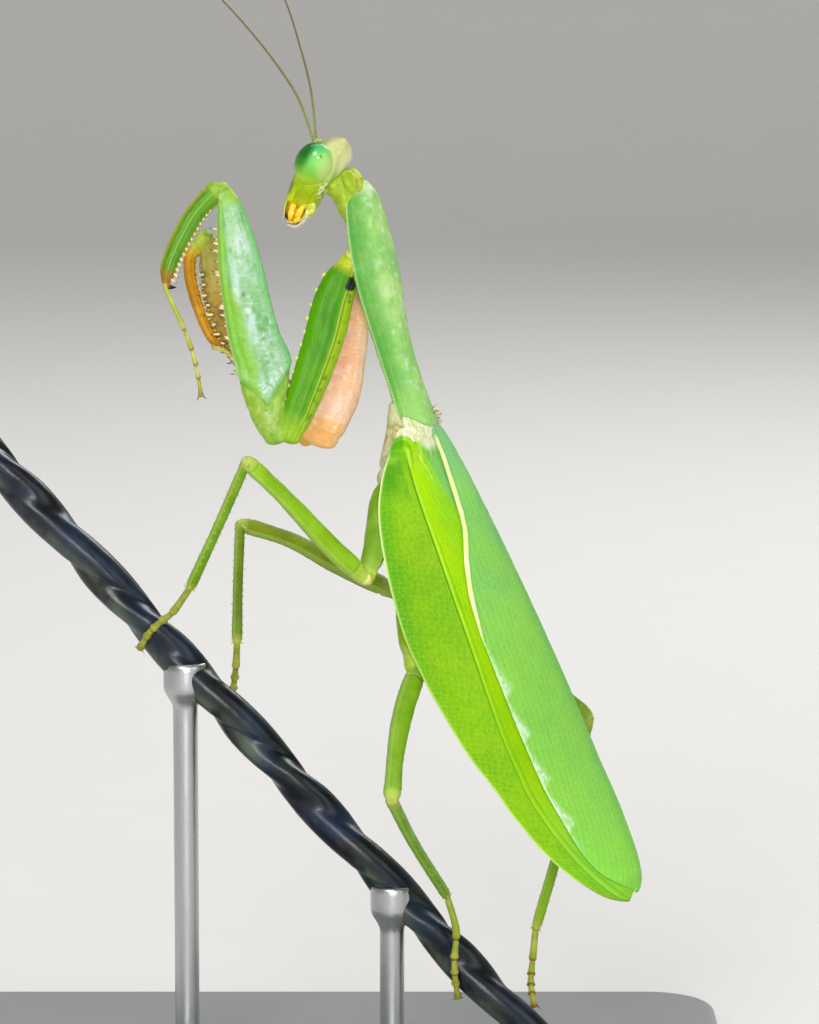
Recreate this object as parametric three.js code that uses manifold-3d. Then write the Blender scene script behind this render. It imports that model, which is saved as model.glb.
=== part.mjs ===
// Life-size display model of an adult female giant Asian praying mantis,
// gripping a short length of twisted wire that two rods hold over a flat base.
// Millimetres, +Z up, origin at the centre of the underside of the base.
// The animal is a still model: every sclerite is a closed solid of its own,
// parted from its neighbours by a thin gap.
import * as THREE from 'three';
import { mergeVertices } from 'three/addons/utils/BufferGeometryUtils.js';
import Module from 'manifold-3d';

const wasm = await Module();
wasm.setup();

// ------------------------------------------------------------ driving sizes
const GAP = 0.16;             // clearance between touching sclerites
const GRIP_GAP = 0.2;         // clearance between feet or rods and the wire
const BODY_ROLL = 40;         // degrees the back is turned from edge-on
const WING_T = 0.5;           // thickness of the wings
const FEELER_R = 0.27;        // radius of the antennae
const TARSUS_R = 0.42;        // radius of the slim feet
const HEAD_H = 10.3;          // crown to mouth
const EYE = { lat: 1.72, deep: 1.85, tall: 2.35, x: 3.05, f: 1.0, u: 1.15 };
const WIRE = { rMain: 1.72, rLobe: 1.32, off: 1.22, pitch: 21.4, steps: 40, sides: 9, phase: 4.01 };
const BASE = { lx: 84, ly: 64, h: 4, r: 7 };
const ROD = { r: 1.25, foot: 3.6, footH: 1.3, cup: 2.2 };

// ------------------------------------------------------------ joint positions
const J = {
  antL: [[-0.32, -0.3, 97.95], [-0.9, -0.35, 99.9], [-2.19, -0.62, 103.31], [-4.16, -0.99, 106.4], [-6.21, -1.42, 109.08], [-9.14, -2.16, 112.45], [-12.83, -2.87, 116], [-16.51, -3.73, 118.55]],
  antR: [[-0.3, 1.4, 98.1], [-0.46, 2.3, 100.2], [-0.95, 4.1, 103.9], [-2.04, 6.1, 108.01], [-3.59, 8.36, 112.56], [-5.97, 10.59, 116.94], [-9.08, 12.77, 120.95]],
  neck: [[2.35, 0.68, 95.27], [2.85, 0.62, 94.18], [3.55, 0.56, 92.98]],
  proth: [[3.95, 0.81, 94.76], [5.2, -0.15, 87.93], [6.95, -1.17, 79.99], [8.55, -1.82, 74.63], [10.1, -2.32, 70.36]],
  foreL_coxa: [[3.26, -0.92, 86.79], [1.76, -1.64, 83.85], [0.37, -2.84, 78.86], [-1.51, -4.1, 73.48], [-3, -4.93, 69.77]],
  foreR_coxa: [[5.13, 2.09, 85.93], [3.21, 1.97, 81.5], [2.8, 1.84, 77.67], [2.19, 1.65, 73.43], [0.27, 1.26, 68.5]],
  foreL_femur: [[-4.19, -4.96, 69.57], [-4.98, -4.69, 72.15], [-6.47, -4.05, 78.88], [-7.65, -3.28, 85.79], [-8.35, -2.86, 89.54], [-9.24, -2.25, 93.87]],
  foreR_femur: [[-0.85, 1.44, 67.66], [-2.37, 2.13, 71.14], [-6.12, 3.51, 78.11], [-8.66, 4.55, 83.29], [-10.19, 5.07, 86.29], [-11.6, 5.42, 88.79]],
  foreL_tibia: [[-10.13, -2.32, 94.08], [-12.01, -2.81, 92.03], [-13.09, -3.24, 90.37], [-13.98, -3.58, 88.71], [-14.77, -3.94, 86.85], [-15.22, -4.19, 85.08]],
  foreR_tibia: [[-11.79, 4.96, 88.42], [-12.99, 4.57, 87.04], [-13.49, 4.13, 85.35], [-13.28, 3.65, 83.37], [-12.57, 3.34, 81.17], [-11.66, 3.06, 79.17], [-10.75, 2.89, 77.97]],
  foreL_tarsus: [[-15.25, -4.43, 84.8], [-14.26, -4.86, 82.45], [-13.16, -5.31, 80.01], [-12.36, -5.74, 77.66], [-11.86, -6.17, 75.32], [-11.66, -6.36, 73.94]],
  foreR_tarsus: [[-10.83, 2.49, 78.01], [-9.47, 1.21, 77.53], [-8.03, 0.19, 76.02], [-6.72, -0.31, 73.86], [-5.61, -0.64, 71.57], [-4.91, -0.87, 69.88]],
  midL_coxa: [[6.54, -2.8, 63.35], [5.95, -4.55, 60.26], [5.36, -6, 57.85], [4.67, -6.88, 55.87]],
  midR_coxa: [[9.56, 2.99, 61.43], [8.85, 3.26, 57.59], [7.83, 3.81, 52.87]],
  hindL_coxa: [[9.15, -2.52, 54.58], [8.95, -4.12, 51.08], [9.35, -6.61, 47.03]],
  hindR_coxa: [[12.81, 2.25, 55.48], [14.76, 3.27, 51.92], [17.02, 4.14, 48.06]],
  midL_femur: [[4.47, -7.08, 55.9], [1.13, -8.73, 59.26], [-2.96, -10.78, 64.05], [-6.9, -12.81, 68.28]],
  midR_femur: [[7.62, 3.97, 52.64], [1.88, 6.12, 54.99], [-3.29, 8.27, 57.37], [-8.38, 9.89, 58.8]],
  hindL_femur: [[9.75, -6.8, 46.36], [8.55, -11.03, 43.59], [7.68, -16.36, 40.19], [7.3, -21.73, 36.41]],
  hindR_femur: [[17.23, 4.31, 47.82], [20.92, 8.27, 44.43], [24.27, 12.23, 40.98], [27.76, 15.76, 37.36]],
  midL_tibia: [[-7, -12.74, 68.07], [-9.44, -11.41, 62.45], [-12.75, -9.01, 55.1]],
  midR_tibia: [[-8.48, 9.66, 58.62], [-8.51, 4.29, 53.41], [-8.42, -1.37, 48.37]],
  hindL_tibia: [[7.3, -21.37, 36.14], [9.35, -13.89, 30.46], [12.79, -4.45, 22.86]],
  hindR_tibia: [[27.75, 15.54, 37.19], [25.32, 10.71, 27.28], [22.05, 5.44, 17.1]],
  midL_tarsus: [[-12.75, -9.01, 55.1], [-14.72, -6, 52.1], [-16.23, -4.18, 50.68], [-17.18, -3.41, 49.64], [-18.2, -1.75, 47.82]],
  midR_tarsus: [[-8.42, -1.37, 48.37], [-8.6, 0.39, 45.81], [-8.88, 1.88, 43.48], [-9.11, 2.44, 41.72], [-9.22, 2.45, 40.37]],
  hindL_tarsus: [[12.79, -4.45, 22.86], [13.71, -4.34, 19.31], [13.56, -4.35, 16.41], [13.62, -4.04, 14.26], [13.94, -2.56, 11.91]],
  hindR_tarsus: [[22.05, 5.44, 17.1], [21.75, 3.9, 14.72], [21.5, 2.17, 12.51], [21.58, 1, 11.33], [21.76, 0.06, 10.41]],
  wire: [[-34.76, 0.21, 68.93], [22.85, -1.75, 6.1]],
  rods: [[-13.73, -0.5, 45.96], [7.22, -1.19, 23.11]],
};

// ------------------------------------------------------------ body frame
const V3 = (a) => new THREE.Vector3(a[0], a[1], a[2]);
const ROOT = V3([10.85, -2.83, 70.32]);              // between the wing bases, on the back
const TAIL = V3([0.3985, -0.1276, -0.9083]).normalize();
const SIDE = V3([0.9172, 0.0555, 0.3946]).normalize();
const FACE = new THREE.Vector3().crossVectors(SIDE, TAIL).normalize(); // square to both
if (FACE.y > 0) FACE.negate();
const cr = Math.cos(BODY_ROLL * Math.PI / 180), sr = Math.sin(BODY_ROLL * Math.PI / 180);
const DORSAL = SIDE.clone().multiplyScalar(cr).addScaledVector(FACE, sr);
const LEFT = SIDE.clone().multiplyScalar(-sr).addScaledVector(FACE, cr);
// s runs tailward from the wing roots, u to the animal's left, v up out of its back
const body = (s, u, v) => ROOT.clone().addScaledVector(TAIL, s).addScaledVector(LEFT, u).addScaledVector(DORSAL, v);

// ------------------------------------------------------------ shape makers
const lerpKeys = (keys, t) => {
  if (t <= keys[0][0]) return keys[0].slice(1);
  for (let i = 1; i < keys.length; i++) {
    if (t <= keys[i][0]) {
      const a = keys[i - 1], b = keys[i], f = (t - a[0]) / (b[0] - a[0]);
      return a.slice(1).map((x, k) => x + (b[k + 1] - x) * f);
    }
  }
  return keys[keys.length - 1].slice(1);
};
const oval = (c, s) => [c, s];

// A tapering body bent along a curve: a lathe drum whose rings are laid square
// to the path. keys = [t, half across, half deep]; `up` fixes the deep direction.
function limb({ pts, keys, up, sides = 8, sect = oval, straight = false }, grow = 0) {
  const P = pts.map((p) => (p.isVector3 ? p : V3(p)));
  const curve = straight ? null : new THREE.CatmullRomCurve3(P, false, 'centripetal');
  const at = (t) => (curve ? curve.getPointAt(t) : P[0].clone().lerp(P[P.length - 1], t));
  const tan = (t) => (curve ? curve.getTangentAt(t) : P[P.length - 1].clone().sub(P[0]).normalize());
  const n = keys.length;
  const prof = [new THREE.Vector2(0, 0)];
  for (let i = 0; i < n; i++) prof.push(new THREE.Vector2(1, i + 1));
  prof.push(new THREE.Vector2(0, n + 1));
  const g = new THREE.LatheGeometry(prof, sides);
  const pos = g.attributes.position;
  const upv = up.isVector3 ? up : V3(up);
  const frames = [];
  for (let i = 0; i < n; i++) {
    const t = Math.min(1, Math.max(0, keys[i][0]));
    const T = tan(t), c = at(t);
    const D = upv.clone().addScaledVector(T, -upv.dot(T)).normalize();
    const A = new THREE.Vector3().crossVectors(T, D).normalize();
    if (grow && i === 0) c.addScaledVector(T, -grow);
    if (grow && i === n - 1) c.addScaledVector(T, grow);
    frames.push({ c, T, D, A, w: keys[i][1] + grow, h: keys[i][2] + grow, o: keys[i][3] || 0 });
  }
  for (let k = 0; k < pos.count; k++) {
    const row = Math.round(pos.getY(k));
    const f = frames[Math.min(n - 1, Math.max(0, row - 1))];
    const r = Math.hypot(pos.getX(k), pos.getZ(k));
    let q = f.c.clone().addScaledVector(f.D, f.o);
    if (r > 0.5) {
      const [a, b] = sect(pos.getX(k) / r, pos.getZ(k) / r);
      q.addScaledVector(f.A, a * f.w).addScaledVector(f.D, b * f.h);
    } else {
      // the end caps dome out a little
      const e = (row === 0 ? -1 : 1) * Math.min(f.w, f.h) * 0.35;
      q.addScaledVector(f.T, e);
    }
    pos.setXYZ(k, q.x, q.y, q.z);
  }
  return g;
}

function ellipsoid(c, ax, r, seg = 12, rows = 8) {
  const g = new THREE.SphereGeometry(1, seg, rows);
  const m = new THREE.Matrix4().makeBasis(ax[0].clone().multiplyScalar(r[0]), ax[1].clone().multiplyScalar(r[1]), ax[2].clone().multiplyScalar(r[2]));
  m.setPosition(c);
  g.applyMatrix4(m);
  return g;
}

// Closed sheet of even thickness over a grid of stations: pt(i, j) and the
// outward normal come from the caller.
function sheet(ni, nj, pt, half) {
  const P = [];
  for (let i = 0; i < ni; i++) for (let j = 0; j < nj; j++) P.push(pt(i, j));
  const at = (i, j) => P[Math.min(ni - 1, Math.max(0, i)) * nj + Math.min(nj - 1, Math.max(0, j))];
  const verts = [];
  for (const sgn of [1, -1]) {
    for (let i = 0; i < ni; i++) for (let j = 0; j < nj; j++) {
      const di = at(i + 1, j).clone().sub(at(i - 1, j)), dj = at(i, j + 1).clone().sub(at(i, j - 1));
      const n = new THREE.Vector3().crossVectors(di, dj).normalize();
      verts.push(at(i, j).clone().addScaledVector(n, sgn * half));
    }
  }
  const id = (k, i, j) => k * ni * nj + i * nj + j;
  const idx = [];
  const quad = (a, b, c, d) => idx.push(a, b, c, a, c, d);
  for (let i = 0; i < ni - 1; i++) for (let j = 0; j < nj - 1; j++) {
    quad(id(0, i, j), id(0, i + 1, j), id(0, i + 1, j + 1), id(0, i, j + 1));
    quad(id(1, i, j), id(1, i, j + 1), id(1, i + 1, j + 1), id(1, i + 1, j));
  }
  for (let i = 0; i < ni - 1; i++) {
    quad(id(0, i, 0), id(1, i, 0), id(1, i + 1, 0), id(0, i + 1, 0));
    quad(id(0, i + 1, nj - 1), id(1, i + 1, nj - 1), id(1, i, nj - 1), id(0, i, nj - 1));
  }
  for (let j = 0; j < nj - 1; j++) {
    quad(id(0, 0, j + 1), id(1, 0, j + 1), id(1, 0, j), id(0, 0, j));
    quad(id(0, ni - 1, j), id(1, ni - 1, j), id(1, ni - 1, j + 1), id(0, ni - 1, j + 1));
  }
  const g = new THREE.BufferGeometry();
  g.setAttribute('position', new THREE.Float32BufferAttribute(verts.flatMap((v) => [v.x, v.y, v.z]), 3));
  g.setIndex(idx);
  return g;
}

// ------------------------------------------------------------ joining and cutting
function solid(g) {
  const h = g.clone();
  h.deleteAttribute('normal');
  h.deleteAttribute('uv');
  const m = mergeVertices(h, 1e-4);
  let tri = Uint32Array.from(m.index.array);
  const p = m.attributes.position;
  let vol = 0;
  const a = new THREE.Vector3(), b = new THREE.Vector3(), c = new THREE.Vector3();
  const keep = [];
  for (let i = 0; i < tri.length; i += 3) {
    if (tri[i] === tri[i + 1] || tri[i + 1] === tri[i + 2] || tri[i] === tri[i + 2]) continue;
    keep.push(tri[i], tri[i + 1], tri[i + 2]);
    a.fromBufferAttribute(p, tri[i]); b.fromBufferAttribute(p, tri[i + 1]); c.fromBufferAttribute(p, tri[i + 2]);
    vol += a.dot(b.cross(c)) / 6;
  }
  if (vol < 0) for (let i = 0; i < keep.length; i += 3) [keep[i + 1], keep[i + 2]] = [keep[i + 2], keep[i + 1]];
  return new wasm.Manifold(new wasm.Mesh({ numProp: 3, vertProperties: Float32Array.from(p.array), triVerts: Uint32Array.from(keep) }));
}
const cut = (m, ...tools) => tools.reduce((acc, t) => acc.subtract(t), m);
const join = (m, ...more) => more.reduce((acc, t) => acc.add(t), m);
function biggest(m) {
  const list = m.decompose();
  return list.reduce((a, b) => (b.volume() > a.volume() ? b : a));
}
function toGeometry(m) {
  const mesh = m.getMesh();
  const g = new THREE.BufferGeometry();
  const n = mesh.numProp, v = mesh.vertProperties, out = new Float32Array((v.length / n) * 3);
  for (let i = 0; i < v.length / n; i++) { out[3 * i] = v[n * i]; out[3 * i + 1] = v[n * i + 1]; out[3 * i + 2] = v[n * i + 2]; }
  g.setAttribute('position', new THREE.BufferAttribute(out, 3));
  g.setIndex(new THREE.BufferAttribute(Uint32Array.from(mesh.triVerts), 1));
  g.computeVertexNormals();
  return g;
}

// ------------------------------------------------------------ the group
const mantis = new THREE.Group();
const COLOUR = { leaf: 0x7fc828, wing: 0x8fd800, blue: 0x8fdca0, eye: 0x4cc878, cream: 0xd8d8a0, orange: 0xe89a50, feeler: 0x7a7a30, wire: 0x0a1420, stand: 0x8c8f92 };
function node(name, m, colour, roughness = 0.45, metalness = 0) {
  const mesh = new THREE.Mesh(toGeometry(biggest(m)), new THREE.MeshStandardMaterial({ color: COLOUR[colour], roughness, metalness }));
  mesh.name = name;
  mantis.add(mesh);
}

// ------------------------------------------------------------ trunk
const thoraxKeys = [
  // s, centre v, half width, half depth
  [-2.1, -1.9, 1.5, 1.2], [-1.0, -2.5, 2.3, 1.8], [0.8, -3.7, 3.1, 2.4], [3, -4.7, 3.5, 2.8], [7, -5.3, 3.6, 2.9], [12, -5.4, 3.6, 2.8], [15.6, -5.4, 3.6, 2.6]];
const abdomenKeys = [
  [15.9, -5.5, 3.7, 2.6], [18, -5.7, 4.3, 2.9], [23, -5.95, 4.8, 3.15], [29, -6.0, 4.9, 3.2], [35, -5.6, 4.5, 2.95], [40, -4.9, 3.7, 2.45], [44, -4.2, 2.6, 1.75], [46.4, -3.75, 1.4, 0.95]];
function trunk(keys, sides, grow = 0) {
  const s0 = keys[0][0], s1 = keys[keys.length - 1][0];
  return limb({
    pts: [body(s0, 0, 0), body(s1, 0, 0)], straight: true, up: DORSAL, sides,
    keys: keys.map((k) => [(k[0] - s0) / (s1 - s0), k[2], k[3], k[1]]),
  }, grow);
}
const thoraxS = solid(trunk(thoraxKeys, 14));
const thoraxG = solid(trunk(thoraxKeys, 14, GAP));
const abdomenS = solid(trunk(abdomenKeys, 14));
const abdomenG = solid(trunk(abdomenKeys, 14, GAP));

// Prothorax: shield over the top, softer plate beneath
const prothKeys = [[0.012, 1.1, 0.85], [0.055, 1.85, 1.4], [0.14, 2.4, 1.75], [0.25, 2.7, 1.94], [0.38, 2.8, 2.0], [0.52, 2.5, 1.86], [0.66, 2.15, 1.66], [0.82, 2.05, 1.6], [0.93, 2.1, 1.52], [0.99, 1.95, 1.3]];
const CHORD = -0.22;          // where the shield ends and the under-plate starts
const prothSpec = { pts: J.proth, keys: prothKeys, up: DORSAL, sides: 14 };
const shieldSect = (c, s) => [c, Math.max(s, CHORD + 0.04)];
const plateSect = (c, s) => [c, Math.min(s, CHORD - 0.06)];
const prothG = solid(limb(prothSpec, GAP));
const pronotumS = solid(limb({ ...prothSpec, sect: shieldSect }));
const prosternumS = solid(limb({ ...prothSpec, sect: plateSect }));

// ------------------------------------------------------------ head
const HUP = V3([0.485, 0.1216, 0.8655]).normalize();       // mouth to crown
const HFWD = V3([-0.874, 0.0675, 0.480]).normalize();      // out of the face
const HLEFT = new THREE.Vector3().crossVectors(HUP, HFWD).normalize();
if (HLEFT.y > 0) HLEFT.negate();
const HEAD_C = V3([-0.15, 0.62, 94.88]);
const head = (x, f, u) => HEAD_C.clone().addScaledVector(HLEFT, x).addScaledVector(HFWD, f).addScaledVector(HUP, u);
const headKeys = [
  // u, centre f, half width, half depth
  [4.72, -0.35, 1.5, 0.6], [4.3, -0.4, 2.5, 1.25], [3.2, -0.25, 2.95, 1.85], [1.6, 0.0, 3.0, 2.05], [0.1, 0.28, 2.75, 1.95], [-1.3, 0.32, 2.2, 1.88], [-2.5, 0.28, 1.8, 1.75], [-3.2, 0.45, 1.6, 1.45]];
const headSpec = (grow) => limb({
  pts: [head(0, 0, headKeys[0][0]), head(0, 0, headKeys[headKeys.length - 1][0])], straight: true, up: HFWD, sides: 14,
  keys: headKeys.map((k) => [(headKeys[0][0] - k[0]) / (headKeys[0][0] - headKeys[headKeys.length - 1][0]), k[2], k[3], k[1]]),
}, grow);
const headG = solid(headSpec(GAP));
const eyeOf = (side, g) => solid(ellipsoid(head(side * EYE.x, EYE.f, EYE.u), [HLEFT, HFWD, HUP.clone().addScaledVector(HLEFT, side * 0.12).normalize()], [EYE.lat + g, EYE.deep + g, EYE.tall + g], 14, 9));
const eyes = { L: eyeOf(1, 0), R: eyeOf(-1, 0) };
const neckSpec = { pts: J.neck, keys: [[0, 1.3, 1.5, 0.15], [0.35, 1.6, 1.95, 0.12], [0.75, 1.65, 1.95, -0.1], [1, 1.35, 1.5, -0.25]], up: DORSAL, sides: 12 };
const neckS = cut(solid(limb(neckSpec)), headG, prothG);
node('head', cut(solid(headSpec(0)), eyeOf(1, GAP), eyeOf(-1, GAP)), 'leaf');
node('eye_left', eyes.L, 'eye', 0.15);
node('eye_right', eyes.R, 'eye', 0.15);

// mouth: upper lip and jaws under the face, with a feeler on each side
const mouthS = cut(solid(limb({ pts: [head(0, 0.42, -3.1), head(0, 0.22, -5.4)], straight: true, up: HFWD, sides: 10, keys: [[0, 1.4, 1.25], [0.4, 1.25, 1.12], [0.8, 0.85, 0.75], [1, 0.4, 0.36]] })), headG);
node('mouthparts', mouthS, 'cream');
for (const [nm, k] of [['left', 1], ['right', -1]]) {
  const palp = limb({ pts: [head(k * 1.95, -0.5, -2.7), head(k * 1.75, -0.45, -3.9), head(k * 1.45, 0.35, -4.75), head(k * 1.2, 1.15, -4.95)], up: HLEFT, sides: 6, keys: [[0, 0.25, 0.25], [0.3, 0.27, 0.27], [0.7, 0.26, 0.26], [1, 0.2, 0.2]] });
  node(`palp_${nm}`, cut(solid(palp), headG, solid(limb({ pts: [head(0, 0.42, -3.1), head(0, 0.22, -5.4)], straight: true, up: HFWD, sides: 10, keys: [[0, 1.4, 1.25], [0.4, 1.25, 1.12], [0.8, 0.85, 0.75], [1, 0.4, 0.36]] }, 0.1))), 'orange');
}
for (const [nm, path] of [['left', J.antL], ['right', J.antR]]) {
  const n = 12, keys = [];
  for (let i = 0; i <= n; i++) keys.push([i / n, i < 1 ? 0.42 : FEELER_R, i < 1 ? 0.42 : FEELER_R]);
  node(`antenna_${nm}`, cut(solid(limb({ pts: path, keys, up: HFWD, sides: 5 })), headG, eyeOf(1, GAP), eyeOf(-1, GAP)), 'feeler');
}
node('neck', neckS, 'leaf');

// ------------------------------------------------------------ wings
// per station: s, half breadth of the back, its height, depth of the fore edge
// strip that hangs down the flank, and how far the inner edge crosses over
const wingTable = [
  [0.5, 3.3, -1.1, 1.3, -0.5], [3, 4.0, -1.2, 2.9, -0.3], [6, 4.5, -1.25, 4.2, 0.1], [10, 4.9, -1.3, 5.1, 0.8], [14, 5.3, -1.35, 5.6, 2.7],
  [18, 5.65, -1.45, 5.8, 3.9], [22.5, 6.0, -1.6, 5.4, 4.3], [27, 6.35, -1.8, 4.6, 4.3], [32, 6.6, -2.0, 3.5, 4.3], [37, 6.5, -2.05, 2.3, 4.25],
  [41, 6.05, -1.65, 1.9, 4.1], [44.4, 5.3, -1.15, 1.6, 3.9], [47.4, 4.3, -0.55, 1.2, 3.3], [49.3, 3.3, -0.15, 0.85, 2.2], [50.6, 2.5, 0.15, 0.5, 0.4]];
const CROWN = 0.9, FLARE = 60 * Math.PI / 180;
function wingPoint(side, s, w) {
  // w: 0 inner edge … 1 fold … 2 fore edge; the right wing lies over the left
  const [u1, v1, c, uh] = lerpKeys(wingTable, s);
  const lift = side < 0 ? 0.42 : -0.42;
  if (w <= 1) {
    const across = -uh + (u1 + uh) * w;               // toward the wing's own flank
    const x = across / u1;
    const blend = Math.min(1, Math.max(0, (1 - x) / 0.45));
    return body(s, side * across, v1 + CROWN * (1 - x * x) + lift * blend);
  }
  const k = w - 1;
  return body(s, side * (u1 + c * k * Math.cos(FLARE)), v1 - c * k * Math.sin(FLARE));
}
const across = [0, 0.4, 0.75, 1, 1.45, 2];
function wing(side, extra = 0) {
  const st = wingTable.map((r) => r[0]);
  return sheet(st.length, across.length, (i, j) => wingPoint(side, st[i], across[j]), WING_T / 2 + extra);
}
const wingS = { left: solid(wing(1)), right: solid(wing(-1)) };
const wingG = { left: solid(wing(1, GAP)), right: solid(wing(-1, GAP)) };
node('tegmen_left', wingS.left, 'wing', 0.4);
node('tegmen_right', cut(wingS.right, wingG.left), 'wing', 0.4);

// folded hind wings: one flat fan under the fore wings
const fanKeys = [[3, 2.4, 0.25], [8, 3.2, 0.25], [16, 3.9, 0.25], [26, 4.3, 0.25], [34, 4.2, 0.25], [41, 3.2, 0.25], [46.5, 1.5, 0.25]];
function fan() {
  return sheet(fanKeys.length, 5, (i, j) => {
    const [s, half] = fanKeys[i], x = (j - 2) / 2;
    const [u1, v1] = lerpKeys(wingTable, s);
    return body(s, x * half, v1 + CROWN * (1 - (x * half / u1) ** 2) - 1.22);
  }, 0.25);
}
node('hindwings', cut(solid(fan()), wingG.left, thoraxG, abdomenG), 'leaf');

node('pronotum', pronotumS, 'blue');
node('prosternum', prosternumS, 'blue');
node('pterothorax', cut(thoraxS, prothG, wingG.left, wingG.right), 'cream');
node('abdomen', cut(abdomenS, thoraxG, wingG.left, wingG.right), 'leaf');
for (const [nm, k] of [['left', 1], ['right', -1]]) {
  node(`cercus_${nm}`, cut(solid(limb({ pts: [body(45.2, k * 1.3, -4.0), body(46.8, k * 1.9, -3.9), body(48.4, k * 2.2, -3.7)], up: DORSAL, sides: 6, keys: [[0, 0.35, 0.3], [0.5, 0.36, 0.3], [1, 0.27, 0.27]] })), abdomenG, wingG.left, wingG.right), 'leaf');
}

// ------------------------------------------------------------ wire
const WA = V3(J.wire[0]), WB = V3(J.wire[1]);
const WDIR = WB.clone().sub(WA).normalize(), WLEN = WB.distanceTo(WA);
function wire(grow = 0) {
  const { rMain, rLobe, off, pitch, steps, sides, phase } = WIRE;
  const prof = [new THREE.Vector2(0, 0)];
  for (let i = 0; i <= steps; i++) prof.push(new THREE.Vector2(1, i + 1));
  prof.push(new THREE.Vector2(0, steps + 2));
  const g = new THREE.LatheGeometry(prof, sides);
  const p = g.attributes.position;
  const N = new THREE.Vector3(0, 1, 0).addScaledVector(WDIR, -WDIR.y).normalize();
  const B = new THREE.Vector3().crossVectors(WDIR, N);
  for (let k = 0; k < p.count; k++) {
    const row = Math.round(p.getY(k)), i = Math.min(steps, Math.max(0, row - 1));
    const x = (i / steps) * WLEN + (i === 0 ? -grow : i === steps ? grow : 0);
    const rr = Math.hypot(p.getX(k), p.getZ(k));
    const q = WA.clone().addScaledVector(WDIR, x);
    if (rr > 0.5) {
      const th = Math.atan2(p.getZ(k), p.getX(k));
      const tw = phase - 2 * Math.PI * x / pitch, d = th - tw;
      const sn = off * Math.sin(d), inside = rLobe * rLobe - sn * sn;
      const lobe = inside > 0 ? off * Math.cos(d) + Math.sqrt(inside) : 0;
      const r = Math.max(rMain, lobe) + grow;
      const cx = -0.4 * Math.cos(tw), cy = -0.4 * Math.sin(tw);
      q.addScaledVector(N, cx + r * Math.cos(th)).addScaledVector(B, cy + r * Math.sin(th));
    }
    p.setXYZ(k, q.x, q.y, q.z);
  }
  return g;
}
const wireG = solid(wire(GRIP_GAP));
node('perch_wire', solid(wire()), 'wire', 0.25);

// ------------------------------------------------------------ legs
const OUT = FACE;             // the leg planes face about this way
function leg(pre, seg, spec, cuts) {
  const S = solid(limb(spec));
  const G = solid(limb(spec, GAP));
  return { name: `${pre}_${seg}`, S, G, cuts };
}
const spine = (base, dir, len, r) => {
  const g = new THREE.ConeGeometry(r, len, 4);
  g.translate(0, len / 2 - 0.25, 0);
  const q = new THREE.Quaternion().setFromUnitVectors(new THREE.Vector3(0, 1, 0), dir.clone().normalize());
  g.applyQuaternion(q);
  g.translate(base.x, base.y, base.z);
  return solid(g);
};
function spines(spec, { from, to, n, side, lat, len, lean, r = 0.26, vary }) {
  const curve = new THREE.CatmullRomCurve3(spec.pts.map(V3), false, 'centripetal');
  const upv = spec.up, list = [];
  for (let i = 0; i < n; i++) {
    const t = from + (to - from) * (n === 1 ? 0.5 : i / (n - 1));
    const T = curve.getTangentAt(t), c = curve.getPointAt(t);
    const D = upv.clone().addScaledVector(T, -upv.dot(T)).normalize();
    const A = new THREE.Vector3().crossVectors(T, D).normalize();
    const [w, h] = lerpKeys(spec.keys, t);
    const L = vary ? (i % 2 ? len * vary : len) : len;
    const b = c.clone().addScaledVector(D, side * h * 0.86).addScaledVector(A, lat * w * 0.5);
    list.push(spine(b, D.clone().multiplyScalar(side).addScaledVector(T, lean).addScaledVector(A, lat * 0.18), L + 0.25, r));
  }
  return list;
}
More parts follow.
